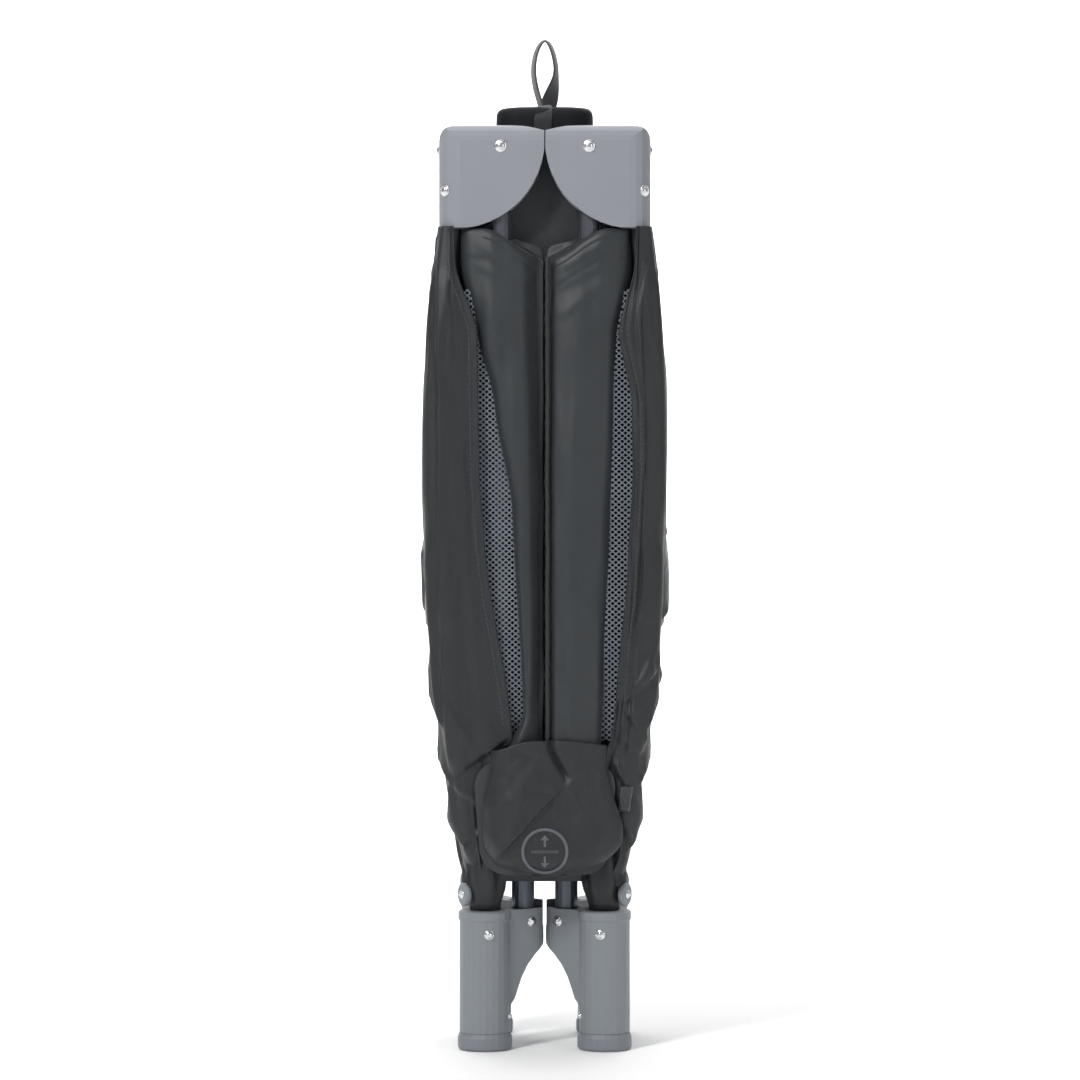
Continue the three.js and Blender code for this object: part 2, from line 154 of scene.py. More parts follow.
def new_object(name, verts, faces, uv=None):
    """Smooth-shaded mesh from points in mm."""
    me = bpy.data.meshes.new(name)
    me.from_pydata([tuple(c * MM for c in v) for v in verts], [], faces)
    me.validate()
    me.update()
    if uv is not None:
        layer = me.uv_layers.new(name="UVMap")
        for loop in me.loops:
            layer.data[loop.index].uv = uv[loop.vertex_index]
    me.polygons.foreach_set("use_smooth", [True] * len(me.polygons))
    ob = bpy.data.objects.new(name, me)
    bpy.context.scene.collection.objects.link(ob)
    return ob


def grid_faces(rows, cols, wrap=False):
    """Quads over rows x cols points, closed round the columns when wrap is set."""
    faces = []
    for i in range(rows - 1):
        for j in range(cols if wrap else cols - 1):
            k = (j + 1) % cols
            faces.append((i * cols + j, i * cols + k, (i + 1) * cols + k, (i + 1) * cols + j))
    return faces


def loft(name, rings):
    """Closed rings of equal length joined into one skin with capped ends."""
    n = len(rings[0])
    verts = [p for ring in rings for p in ring]
    faces = grid_faces(len(rings), n, wrap=True)
    for row, flip in ((0, True), (len(rings) - 1, False)):
        ring = rings[row]
        verts.append(tuple(sum(p[k] for p in ring) / n for k in range(3)))
        mid = len(verts) - 1
        base = row * n
        for j in range(n):
            a, b = base + j, base + (j + 1) % n
            faces.append((b, a, mid) if flip else (a, b, mid))
    ob = new_object(name, verts, faces)
    fix_normals(ob)
    return ob


def circle(place, u, d, z, steps, radius):
    """Level ring round (u, d), its radius a function of the angle."""
    ring = []
    for j in range(steps):
        a = TAU * j / steps
        r = radius(a)
        ring.append(place(u + r * math.cos(a), d + r * math.sin(a), z))
    return ring


def fix_normals(ob):
    bm = bmesh.new()
    bm.from_mesh(ob.data)
    bmesh.ops.recalc_face_normals(bm, faces=bm.faces)
    bm.to_mesh(ob.data)
    bm.free()


def skin(name, verts, cols, uv=None):
    """Open skin over rows of cols points."""
    ob = new_object(name, verts, grid_faces(len(verts) // cols, cols), uv=uv)
    fix_normals(ob)
    return ob


def solidify(ob, thickness):
    """Give a sheet its thickness in mm, half to each side."""
    m = ob.modifiers.new("thickness", "SOLIDIFY")
    m.thickness = thickness * MM
    m.offset = 0.0


def subdivide(ob, levels=1):
    m = ob.modifiers.new("smooth", "SUBSURF")
    m.levels = levels
    m.render_levels = levels


def turned(name, profile, place, direction, steps=28):
    """Profile of (radius, height) turned round an axis through place."""
    z = Vector(direction).normalized()
    turn = z.to_track_quat("Z", "Y").to_matrix()
    rings = []
    for r, h in profile:
        ring = []
        for i in range(steps):
            a = TAU * i / steps
            p = turn @ Vector((r * math.cos(a), r * math.sin(a), h))
            ring.append(tuple(p + Vector(place)))
        rings.append(ring)
    return loft(name, rings)


def wear(ob, material, body):
    """Material and slot of a piece, and the body that it rides on."""
    ob.data.materials.clear()
    ob.data.materials.append(material)
    if body:
        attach(ob, body)


# ---- materials
WEAVE = 0.00055            # metres from thread to thread
STITCH_PITCH = 0.0042
NET_CELL = (0.0027, 0.0023)


class Nodes:
    """One material's node tree around a Principled shader."""

    def __init__(self, name):
        self.mat = bpy.data.materials.new(name)
        self.mat.use_nodes = True
        self.tree = self.mat.node_tree
        self.tree.nodes.clear()
        out = self.new("OutputMaterial")
        self.bsdf = self.new("BsdfPrincipled")
        self.join(self.bsdf.outputs["BSDF"], out.inputs["Surface"])

    def new(self, kind):
        return self.tree.nodes.new("ShaderNode" + kind)

    def join(self, output, socket):
        self.tree.links.new(output, socket)

    def math(self, op, a, b=None, c=None, clamp=False):
        n = self.new("Math")
        n.operation = op
        n.use_clamp = clamp
        for i, v in enumerate((a, b, c)):
            if v is None:
                continue
            if isinstance(v, (int, float)):
                n.inputs[i].default_value = v
            else:
                self.join(v, n.inputs[i])
        return n.outputs[0]

    def ramp(self, value, low, high):
        """Colour ramp from low to high over a 0 to 1 value."""
        n = self.new("ValToRGB")
        n.color_ramp.elements[0].color = (*low, 1)
        n.color_ramp.elements[1].color = (*high, 1)
        self.join(value, n.inputs["Fac"])
        return n.outputs["Color"]

    def coords(self, kind="Object"):
        return self.new("TexCoord").outputs[kind]

    def split(self, vector):
        n = self.new("SeparateXYZ")
        self.join(vector, n.inputs[0])
        return n.outputs

    def noise(self, vector, scale, detail=3.0, roughness=0.5):
        n = self.new("TexNoise")
        n.inputs["Scale"].default_value = scale
        n.inputs["Detail"].default_value = detail
        n.inputs["Roughness"].default_value = roughness
        self.join(vector, n.inputs["Vector"])
        return n.outputs["Fac"]

    def bump(self, height, strength, distance, after=None):
        n = self.new("Bump")
        n.inputs["Strength"].default_value = strength
        n.inputs["Distance"].default_value = distance
        self.join(height, n.inputs["Height"])
        if after is not None:
            self.join(after, n.inputs["Normal"])
        return n.outputs["Normal"]

    def set(self, **values):
        for k, v in values.items():
            self.bsdf.inputs[k.replace("_", " ")].default_value = v

    def to(self, output, socket):
        self.join(output, self.bsdf.inputs[socket])


def fabric(name, dark, light, rough, sheen, drags=True, gloss=0.45):
    """Plain weave with slubs and blotches. drags adds the larger soft pulls in the cloth."""
    m = Nodes(name)
    at = m.coords()
    x, y, z = m.split(at)
    across = m.math("ADD", x, y)
    step = TAU / WEAVE
    warp = m.math("SINE", m.math("MULTIPLY", across, step))
    weft = m.math("SINE", m.math("MULTIPLY", z, step * 0.8))
    cloth = m.math("MULTIPLY", warp, weft)
    rib = m.math("MULTIPLY_ADD", weft, 0.6, cloth)
    slub = m.noise(at, 180.0, 2.0)
    blotch = m.noise(at, 14.0, 4.0, 0.55)
    tone = m.math("MULTIPLY_ADD", slub, 0.35, m.math("MULTIPLY", blotch, 0.65))
    m.to(m.ramp(tone, dark, light), "Base Color")
    m.to(m.math("MULTIPLY_ADD", blotch, 0.16, rough - 0.08), "Roughness")
    fine = m.bump(rib, 0.22, 0.00012)
    soft = m.noise(at, 42.0, 3.0, 0.6)
    normal = m.bump(soft, 0.28 if drags else 0.12, 0.0012, fine)
    m.to(normal, "Normal")
    m.set(Metallic=0.0, Sheen_Weight=sheen, Sheen_Roughness=0.45, Specular_IOR_Level=gloss)
    return m.mat


def stitching(name, thread, ground):
    """A sewn seam line: short raised stitches along the length."""
    m = Nodes(name)
    u, _, _ = m.split(m.coords("UV"))
    run = m.math("FRACT", m.math("DIVIDE", u, STITCH_PITCH))
    bar = m.math("LESS_THAN", run, 0.68)
    m.to(m.ramp(bar, ground, thread), "Base Color")
    m.to(m.bump(bar, 0.8, 0.0004), "Normal")
    m.set(Roughness=0.7, Sheen_Weight=0.2)
    return m.mat


def netting(name):
    """Woven net with open diamond cells."""
    m = Nodes(name)
    u, v, _ = m.split(m.coords("UV"))
    a = m.math("DIVIDE", u, NET_CELL[0])
    b = m.math("DIVIDE", v, NET_CELL[1])
    lines = []
    for op in ("ADD", "SUBTRACT"):
        s = m.math(op, a, b)
        f = m.math("ABSOLUTE", m.math("SUBTRACT", m.math("FRACT", m.math("MULTIPLY", s, 0.5)), 0.5))
        lines.append(m.math("GREATER_THAN", f, 0.335))
    thread = m.math("MAXIMUM", lines[0], lines[1])
    shade = m.noise(m.coords(), 30.0, 3.0)
    tone = m.math("MULTIPLY_ADD", shade, 0.5, 0.25)
    m.to(m.ramp(tone, (0.085, 0.100, 0.122), (0.19, 0.215, 0.255)), "Base Color")
    m.to(thread, "Alpha")
    m.to(m.bump(thread, 0.5, 0.0003), "Normal")
    m.set(Roughness=0.55, Sheen_Weight=0.2)
    return m.mat


def webbing(name, dark, light):
    """Ribbed woven strap. Its colour follows the rib height: painted shade in the grooves and painted
    highlight on the rib tops.
    """
    m = Nodes(name)
    at = m.coords()
    x, y, z = m.split(at)
    ribs = m.math("SINE", m.math("MULTIPLY", m.math("ADD", z, x), TAU / 0.0021))
    cross = m.math("SINE", m.math("MULTIPLY", y, TAU / 0.0014))
    h = m.math("MULTIPLY_ADD", cross, 0.7, ribs)
    # painted shade and highlight: the colour is darker in the grooves and lighter on the rib tops, from the
    # same height as the bump
    tone = m.math("MULTIPLY_ADD", h, 0.22, 0.5, clamp=True)
    m.to(m.ramp(tone, dark, light), "Base Color")
    m.to(m.bump(h, 0.6, 0.0003), "Normal")
    m.set(Roughness=0.72, Sheen_Weight=0.3)
    return m.mat


def plastic(name, colour, rough, gloss=0.5):
    """Moulded plastic with a fine spark-eroded grain."""
    m = Nodes(name)
    at = m.coords()
    broad = m.noise(at, 9.0, 3.0)
    spark = m.noise(at, 900.0, 2.0)
    low = tuple(c * 0.92 for c in colour)
    high = tuple(min(1.0, c * 1.07) for c in colour)
    m.to(m.ramp(broad, low, high), "Base Color")
    m.to(m.math("MULTIPLY_ADD", spark, 0.14, rough - 0.05), "Roughness")
    m.to(m.bump(spark, 0.25, 0.0001), "Normal")
    m.set(Specular_IOR_Level=gloss)
    return m.mat


def coated_metal(name, colour, metallic, rough):
    """Powder-coated tube with a slight orange peel."""
    m = Nodes(name)
    at = m.coords()
    peel = m.noise(at, 420.0, 3.0)
    broad = m.noise(at, 20.0, 3.0)
    m.to(m.ramp(broad, tuple(c * 0.85 for c in colour), tuple(c * 1.2 for c in colour)), "Base Color")
    m.to(m.math("MULTIPLY_ADD", peel, 0.15, rough - 0.07), "Roughness")
    m.to(m.bump(peel, 0.18, 0.0001), "Normal")
    m.set(Metallic=metallic)
    return m.mat


def bright_metal(name):
    """Polished steel with fine marks."""
    m = Nodes(name)
    at = m.coords()
    marks = m.noise(at, 260.0, 4.0)
    m.to(m.ramp(marks, (0.55, 0.56, 0.58), (0.86, 0.87, 0.89)), "Base Color")
    m.to(m.math("MULTIPLY_ADD", marks, 0.2, 0.16), "Roughness")
    m.to(m.bump(marks, 0.08, 0.0001), "Normal")
    m.set(Metallic=1.0)
    return m.mat


SATIN = fabric("satin_weave", (0.016, 0.0195, 0.0225), (0.028, 0.033, 0.037), 0.45, 0.10)
SATIN_OUTER = fabric("satin_weave_outer", (0.0085, 0.011, 0.0135), (0.016, 0.0195, 0.022), 0.45, 0.08)
SATIN_DARK = fabric("satin_weave_dark", (0.010, 0.012, 0.0135), (0.019, 0.022, 0.024), 0.5, 0.08)
HUB_CLOTH = fabric("hub_cloth", (0.006, 0.007, 0.009), (0.012, 0.014, 0.017), 0.62, 0.02, gloss=0.16)
LINING = fabric("lining_weave", (0.016, 0.018, 0.021), (0.028, 0.031, 0.034), 0.75, 0.1, drags=False)
PIPING = fabric("piping_cloth", (0.010, 0.012, 0.013), (0.018, 0.021, 0.023), 0.6, 0.1, drags=False)
STITCH = stitching("seam_thread", (0.034, 0.038, 0.042), (0.012, 0.014, 0.016))
NET = netting("open_net")
PRINT = fabric("tone_print", (0.085, 0.088, 0.105), (0.12, 0.125, 0.145), 0.5, 0.05, drags=False)
WEB = webbing("strap_webbing", (0.016, 0.018, 0.021), (0.092, 0.098, 0.11))
# darker copy of the strap webbing for the strap's tail: painted shade where the tail lies across the hub's
# front
WEB_PAINTED_SHADE = webbing("strap_webbing_painted_shade", (0.006, 0.007, 0.009), (0.028, 0.031, 0.035))
SHELL_GREY = plastic("shell_grey", (0.245, 0.256, 0.285), 0.44)
FOOT_GREY = plastic("foot_grey", (0.205, 0.224, 0.244), 0.46)
PAD_GREY = plastic("foot_pad_grey", (0.19, 0.205, 0.23), 0.5)
LATCH_DARK = plastic("latch_dark", (0.026, 0.029, 0.032), 0.5)
BLACK = plastic("hub_black", (0.010, 0.011, 0.013), 0.55, gloss=0.2)
BUTTON_GREY = plastic("button_grey", (0.09, 0.096, 0.105), 0.45)
TUBE_GREY = coated_metal("tube_slate", (0.105, 0.120, 0.145), 0.55, 0.34)
RAIL_GREY = coated_metal("rail_slate", (0.10, 0.108, 0.125), 0.6, 0.3)
STEEL = bright_metal("rivet_steel")


# ---- CAD nodes
EDGE_ROUND = 0.0011        # metres, on the moulded parts


def finish_cad():
    """Materials for the CAD nodes by the start of their names, and rounded edges on the moulded ones."""
    look = (("corner_bracket", SHELL_GREY), ("latch_button", BUTTON_GREY), ("latch_", LATCH_DARK),
            ("foot_pad", PAD_GREY), ("foot_", FOOT_GREY), ("post_", TUBE_GREY), ("floor_tube", TUBE_GREY),
            ("rail_", RAIL_GREY), ("hub", BLACK))
    for name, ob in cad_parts.items():
        for key, mat in look:
            if name.startswith(key):
                ob.data.materials.clear()
                ob.data.materials.append(mat)
                break
        if name.startswith(("corner_bracket", "foot_", "latch_", "hub")):
            bev = ob.modifiers.new("edge", "BEVEL")
            bev.width = EDGE_ROUND
            bev.segments = 2
            bev.limit_method = "ANGLE"
            bev.angle_limit = math.radians(42)
            bev.harden_normals = False
        ob.data.polygons.foreach_set("use_smooth", [True] * len(ob.data.polygons))
        split = ob.modifiers.new("facets", "EDGE_SPLIT")
        split.split_angle = math.radians(38)


finish_cad()


# ---- faces
# A face is one side of the bundle. u runs across, d outward, z up.
FACES = {
    "front": (lambda u, d, z: (u, -d, z), HALF_LONG),
    "back": (lambda u, d, z: (-u, d, z), HALF_LONG),
    "left": (lambda u, d, z: (-d, -u, z), HALF_SHORT),
    "right": (lambda u, d, z: (d, u, z), HALF_SHORT),
}
# The half rail on the low-u and high-u side of each face, and the corner there
ENDS = {
    "front": (("left", "front_left"), ("right", "front_right")),
    "back": (("right", "back_right"), ("left", "back_left")),
    "left": (("back", "back_left"), ("front", "front_left")),
    "right": (("front", "front_right"), ("back", "back_right")),
}
PAD_TOP = 693.0
PAD_LOW = RAIL_PIVOT - HALF_LONG + 21.0    # foot of the long sides' padded bands
PIN_GAP = 21.0                             # from the latch's pin up to a padded band
BAND_LOW = 247.0                           # where the outer bands' upper edge lists start
NECK_DROP, NECK_REACH = 26.0, 54.0         # the neckline's fall at the middle, and where it ends
SKIN_DEPTH = 96.0                          # usual outward depth of the padded bands

# Edge of the padded band from the centre plane, in mm, by height (share of the band's length)
PAD_EDGE_SLIM = ((0.0, 36.0), (0.09, 18.0), (0.49, 28.5), (0.67, 43.0), (0.80, 58.0), (0.93, 71.0),
                 (1.0, 70.0))
PAD_EDGE_FULL = ((0.0, 46.0), (0.12, 49.5), (0.53, 57.5), (0.68, 59.0), (0.80, 62.0), (0.92, 73.0),
                 (1.0, 71.0))
# Inner edge of the outer band, the same way
BAND_EDGE_SLIM = ((0.0, 22.0), (0.05, 28.0), (0.41, 51.0), (0.53, 55.0), (0.80, 57.0), (0.93, 75.5),
                  (1.0, 77.0))
BAND_EDGE_FULL = ((0.0, 54.0), (0.11, 60.0), (0.37, 70.0), (0.54, 74.0), (0.67, 73.0), (0.80, 62.0),
                  (0.93, 76.0), (1.0, 77.0))
# Its inner edge below the padded bands, in mm, by height in mm
LOW_SLIM = ((136.0, 48.0), (199.0, 44.0), (252.0, 44.0), (262.0, 30.0))
LOW_FULL = ((136.0, 48.0), (163.0, 60.0), (180.0, 62.0), (218.0, 48.0), (238.0, 46.0), (262.0, 54.0))
# Half the bundle's width: at the foot of the cloth, where it is widest, and at its top
CLOTH_FOOT, FOOT_WIDTH = 134.0, 65.5
WIDEST_AT, WIDEST = 506.0, 102.0
CLOTH_TOP, TOP_WIDTH = 694.0, 90.0
# The padded band is narrow on these sides of the long faces, and full everywhere else
SLIM_SIDES = {("front", 0), ("back", 0)}


def bulge(z):
    """The bundle swells quickly above the feet, then eases over its widest place to the top."""
    below = np.clip((WIDEST_AT - z) / (WIDEST_AT - CLOTH_FOOT), 0.0, 1.0)
    above = np.clip((z - WIDEST_AT) / (CLOTH_TOP - WIDEST_AT), 0.0, 1.0)
    return WIDEST - (WIDEST - FOOT_WIDTH) * below ** 2.4 - (WIDEST - TOP_WIDTH) * above ** 2.3


def neckline(u, share=1.0):
    """Height of the padded bands' top edge, which falls toward the middle in a V."""
    return PAD_TOP - NECK_DROP * (1 - smooth(0, NECK_REACH, u)) * share


def half_rail(face, side):
    """A face's placing function and half length, the half rail's name ending, and its side as a sign."""
    place, half = FACES[face]
    return place, half, f"{face}_{ENDS[face][side][0]}", -1 if side == 0 else 1


def pad_seed(face, side):
    return 3.1 * side + 7.7 * list(FACES).index(face)


# Fold lines on the padded bands: (u0, z0, u1, z1, lift, spread); u is the distance from the centre plane
PAD_FOLDS_SLIM = (
    (40.0, 575, 24.0, 330, 1.8, 9), (13.0, 290, 15.0, 600, 2.0, 12), (8.0, 652, 62.0, 678, 1.8, 7),
    (10.0, 636, 68.0, 664, 1.5, 8), (30.0, 640, 42.0, 560, 1.3, 10), (26.0, 262, 12.0, 284, 2.0, 6),
)
PAD_FOLDS_FULL = (
    (8.0, 652, 60.0, 682, 2.0, 7), (6.0, 636, 68.0, 670, 1.8, 8), (6.0, 610, 64.0, 654, 1.4, 9),
    (30.0, 290, 26.0, 560, 2.0, 12), (52.0, 620, 46.0, 400, 1.8, 9), (44.0, 380, 40.0, 262, 1.6, 9),
    (14.0, 300, 12.0, 470, 1.5, 9),
)


def rail_pad(face, side):
    """Crowned, creased padded band around one half rail."""
    place, half, name, s = half_rail(face, side)
    z0 = RAIL_PIVOT - half + PIN_GAP
    slim = (face, side) in SLIM_SIDES
    edge = PAD_EDGE_SLIM if slim else PAD_EDGE_FULL
    lines = PAD_FOLDS_SLIM if slim else PAD_FOLDS_FULL
    # the band on one side rolls away into the middle crease, the other stands up beside it
    roll, reach = (13.0, 21.0) if side == 0 else (5.0, 9.0)
    squareness = 2 / 2.35
    back = 66.0
    rows, cols = 130, 72
    rings = []
    seed = pad_seed(face, side)
    for i in range(rows + 1):
        t = i / rows
        out = lerp_table(edge, t)
        inn = 1.2 + 1.2 * fuzz(t * 9, seed, 0, 1.0)
        puff = math.sin(math.pi * min(1.0, t * 1.15 + 0.06)) ** 0.35 if t < 0.94 else 0.9
        front = SKIN_DEPTH + 1.5 * puff + 1.0 * fuzz(t * 6, seed, 2.0) - 6.5 * smooth(0.82, 1.0, t)
        ends = 1.0
        if t < 0.05:
            ends = 0.45 + 0.55 * math.sqrt(max(0.0, 1 - (1 - t / 0.05) ** 2))
        if t > 0.965:
            ends = 0.62 + 0.38 * math.sqrt(max(0.0, 1 - ((t - 0.965) / 0.035) ** 2))
        ring = []
        for j in range(cols):
            a = TAU * j / cols
            ca, sa = math.cos(a), math.sin(a)
            pu = math.copysign(abs(ca) ** squareness, ca)
            pd = math.copysign(abs(sa) ** squareness, sa)
            u = (inn + out) / 2 + (out - inn) / 2 * pu
            d = (front + back) / 2 + (front - back) / 2 * pd * ends
            z = z0 + (neckline(u, 1 if pd > -0.2 else 0.6) - z0) * t
            if pd > 0:
                crease = 1.3 * fuzz(u * 0.9, z * 0.10, seed, 9.0)
                pull = 0.9 * math.sin((z * 0.055 + u * 0.12) + seed)
                pull = pull * smooth(0.0, 0.4, t) * (1 - smooth(0.8, 1, t))
                tug = 2.2 * fuzz(u * 0.5 + z * 0.12, z * 0.05, seed + 4, 7.0) * (1 - smooth(0.0, 0.35, t))
                d += (crease + pull * 0.5 + tug) * pd + point_folds(u, z, lines) * pd * ends
                d -= roll * (1 - smooth(1.0, reach, u)) * pd
            ring.append(place(s * u, d, z))
        rings.append(ring)
    ob = loft(f"rail_pad_{name}", rings)
    subdivide(ob)
    wear(ob, SATIN, f"half_rail_{name}")
    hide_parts(f"rail_sleeve_{name}")
    return ob


def rail_cover(face, side):
    """Close cloth cover on the rail itself."""
    place, half, name, s = half_rail(face, side)
    z0 = RAIL_PIVOT - half + PIN_GAP
    seed = pad_seed(face, side)
    rings = []
    for i in range(61):
        t = i / 60

        def radius(a):
            if t < 0.02 or t > 0.98:
                return 9.0
            return 10.0 + 0.5 * math.sin(a * 5 + t * 31) + 0.6 * fuzz(t * 24, a, seed)

        rings.append(circle(place, s * PIVOT_IN, RAIL_PLANE, z0 - 1 + (683.0 - z0) * t, 28, radius))
    wear(loft(f"rail_cover_{name}", rings), SATIN_DARK, f"half_rail_{name}")


def neck_seam(face, side, pad):
    """Stitches along the neckline of a padded band."""
    place, _, name, s = half_rail(face, side)
    points = []
    for i in range(25):
        u = 3.0 + 50.0 * i / 24
        z = neckline(u) - 9.0
        points.append(place(s * u, surface_depth(pad, place, s * u, z), z))
    seam(f"neck_seam_{name}", points, place(0, 1, 0), f"half_rail_{name}")


RAY_START = 140.0          # outside everything on a face


def surface_depth(ob, place, u, z):
    """Outward depth of a piece's skin at (u, z) on its face."""
    start = Vector(place(u, RAY_START, z)) * MM
    way = Vector(place(0, -1, 0))
    world = ob.matrix_world
    hit, where, _, _ = ob.ray_cast(world.inverted() @ start, world.to_3x3().inverted() @ way)
    if not hit:
        return SKIN_DEPTH
    return RAY_START - (where * 1000 - start * 1000).length


SEAM_WIDTH = 1.1


def seam(name, points, outward, body):
    """Row of stitches: a slim raised ribbon along points."""
    out = Vector(outward).normalized()
    verts, uv = [], []
    run = 0.0
    for i, p in enumerate(points):
        p = Vector(p)
        a = Vector(points[max(0, i - 1)])
        b = Vector(points[min(len(points) - 1, i + 1)])
        way = (b - a).normalized()
        side = way.cross(out).normalized() * SEAM_WIDTH / 2
        if i:
            run += (p - Vector(points[i - 1])).length
        for k, lift in ((-1, 0.1), (0, 0.55), (1, 0.1)):
            verts.append(tuple(p + side * k + out * lift))
            uv.append((run * MM, k * 0.5 + 0.5))
    wear(skin(name, verts, 3, uv), STITCH, body)


# Fold lines on the outer bands, the same way
FOLDS_SLIM = (
    (89.0, 330, 90.0, 690, 4.2, 15), (80.0, 236, 89.0, 350, 3.4, 12), (94.5, 690, 97.0, 400, 2.4, 8),
    (95.0, 640, 97.5, 430, 1.6, 10), (71.0, 560, 60.0, 380, 1.1, 12), (80.0, 660, 76.0, 560, 2.0, 8),
    (28.0, 266, 80.0, 229, 6.5, 34), (84.0, 300, 62.0, 262, 2.4, 14),
    (44.0, 196, 46.0, 256, 5.4, 13), (42.0, 197, 79.0, 224, 5.6, 15), (74.0, 160, 42.0, 206, 4.4, 14),
    (44.0, 180, 62.0, 150, 3.6, 10), (80.0, 226, 60.0, 243, 2.6, 8), (86.0, 215, 68.0, 178, 4.2, 12),
)
FOLDS_FULL = (
    (83.0, 545, 80.0, 640, 3.8, 13), (82.0, 450, 84.0, 560, 4.2, 14), (77.0, 365, 82.0, 470, 4.2, 14),
    (64.0, 292, 77.0, 385, 4.0, 13), (93.0, 620, 96.0, 420, 1.6, 12), (88.0, 668, 80.0, 628, 2.4, 8),
    (64.0, 291, 98.0, 326, 5.2, 20), (96.0, 352, 74.0, 306, 3.4, 12), (62.0, 293, 95.0, 243, 6.2, 22),
    (60.0, 262, 86.0, 250, 4.0, 10), (93.0, 250, 78.0, 202, 4.6, 14), (54.0, 246, 84.0, 192, 5.0, 13),
    (58.0, 206, 78.0, 158, 4.4, 12), (96.0, 232, 82.0, 186, 3.6, 10),
)
FOLDS_SIDE = (
    (86.0, 680, 88.0, 430, 2.6, 22), (88.0, 440, 84.0, 250, 2.8, 22), (70.0, 600, 74.0, 400, 1.8, 14),
    (60.0, 330, 92.0, 262, 5.6, 24), (54.0, 262, 86.0, 220, 5.4, 16), (84.0, 240, 58.0, 186, 4.8, 13),
    (52.0, 210, 74.0, 160, 4.2, 11),
)

def band_edge(z, slim, side):
    """Distance of the outer band's inner edge from the centre plane, for an array of heights."""
    share = (z - BAND_LOW) / (PAD_TOP - BAND_LOW)
    if side:
        return 50.0 + (table_of(BAND_EDGE_FULL, share) - 50.0) * ramp01(240, 300, z)
    high = table_of(BAND_EDGE_SLIM if slim else BAND_EDGE_FULL, share)
    low = table_of(LOW_SLIM if slim else LOW_FULL, z)
    k = ramp01(254.0, 266.0, z)
    return high * k + low * (1 - k)


def band_edge_at(z, slim):
    return float(band_edge(np.array([z]), slim, False)[0])


COVER_LIMIT = 106.5        # the outer bands stay inside this, so that the fabric stands little proud


def corner_cover(corner):
    """Loose outer band of cloth round one corner, from the bracket down to the foot."""
    sx, sy = CORNERS[corner]
    facing_y = "front" if sy < 0 else "back"
    side_y = [c for _, c in ENDS[facing_y]].index(corner)
    slim = (facing_y, side_y) in SLIM_SIDES
    seed = 5.0 + 11.0 * list(CORNERS).index(corner)
    rows = 250
    z = np.linspace(136.0, PAD_TOP, rows + 1)
    out = bulge(z)
    ly = band_edge(z, slim, False)
    lx = band_edge(z, slim, True)
    fy = np.minimum(out + 1.0, 99.5) - 3.0 * (1 - ramp01(150, 262, z))
    r = np.clip(out - np.maximum(ly, lx) - 3.0, 6.0, 16.0)
    keep = 64.5             # clear of the post's sock
    cols = []

    def row(px, py, weight):
        """One line of the band down its whole height. Folds push it outward by weight."""
        cols.append((px + 0 * z, py + 0 * z, weight + 0 * z))

    row(60.3, 60.8, 0)
    row(54.0, 62.9, 0)
    row(np.maximum(63.9, ly - 4.0), 65.6, 0)
    row(np.maximum(keep, ly + 1.5), fy - 16.0, 0)
    row(ly + 2.6, fy - 9.0, 0)
    row(ly + 0.4, fy - 4.6, 0.0)
    row(ly - 0.7, fy - 2.0, 0.25)
    row(ly, fy, 0.5)
    across = 34
    for k in range(1, across + 1):
        row(ly + (out - r - ly) * k / across, fy, min(1.0, 0.5 + k * 0.12))
    for k in range(1, 16):
        a = math.pi / 2 * (1 - k / 16)
        row(out - r + r * math.cos(a), fy - r + r * math.sin(a), 1.0)
    for k in range(0, 27):
        row(out, (fy - r) + (lx - (fy - r)) * k / 26, min(1.0, 0.5 + (26 - k) * 0.12))
    row(out - 2.0, lx - 0.7, 0.25)
    row(out - 4.6, lx + 0.4, 0.0)
    row(out - 9.0, lx + 2.6, 0)
    row(out - 16.0, np.maximum(keep, lx + 1.5), 0)
    row(65.6, np.maximum(63.9, lx - 4.0), 0)
    row(62.6, 54.0, 0)
    px = np.array([c[0] for c in cols]).T
    py = np.array([c[1] for c in cols]).T
    weight = np.array([c[2] for c in cols]).T
    count = px.shape[1]
    zz = np.repeat(z[:, None], count, 1)
    c = np.linspace(0, 1, count)[None, :]
    front = folds(px, zz, FOLDS_SLIM if slim else FOLDS_FULL)
    side = folds(py, zz, FOLDS_SIDE)
    t = ramp01(-6, 6, py - px)
    lift = front * t + side * (1 - t)
    long_fold = 1.5 * waves(c * 12.0 + seed, zz * 0.006, seed)
    slant = 0.9 * waves(c * 16.0 + zz * 0.02, zz * 0.005, seed + 9)
    crumple = 1.8 * waves(c * 9.0 + zz * 0.03, zz * 0.03, seed + 3) * (1 - ramp01(165, 290, zz))
    push = (lift + long_fold + slant + crumple - 1.4) * weight
    nx, ny = px - 58.0, py - 58.0
    size = np.maximum(np.hypot(nx, ny), 1.0)
    flat_y = ramp01(4, 26, py - px)
    flat_x = ramp01(4, 26, px - py)
    dx, dy = nx / size * (1 - flat_y), ny / size * (1 - flat_x)
    px = np.minimum(px + dx * push, COVER_LIMIT)
    py = np.minimum(py + dy * push, COVER_LIMIT)
    zz = zz + 3.0 * waves(c * 9, 1.0, seed) * (1 - ramp01(150, 185, zz))
    verts = np.stack([sx * px, sy * py, zz], -1).reshape(-1, 3)
    faces = grid_faces(rows + 1, count, wrap=True)
    faces.append(tuple(range(count)))
    faces.append(tuple(rows * count + k for k in range(count)))
    ob = new_object(f"corner_cover_{corner}", [tuple(v) for v in verts], faces)
    fix_normals(ob)
    wear(ob, SATIN_OUTER, f"corner_{corner}")
    # stitched seam beside the inner edge
    place, _ = FACES[facing_y]
    s = -1 if side_y == 0 else 1
    pts = []
    for h in np.linspace(276, 664, 60):
        u = band_edge_at(h, slim) + 6.5
        pts.append(place(s * u, surface_depth(ob, place, s * u, h), h))
    seam(f"band_seam_{corner}", pts, place(0, 1, 0), f"corner_{corner}")


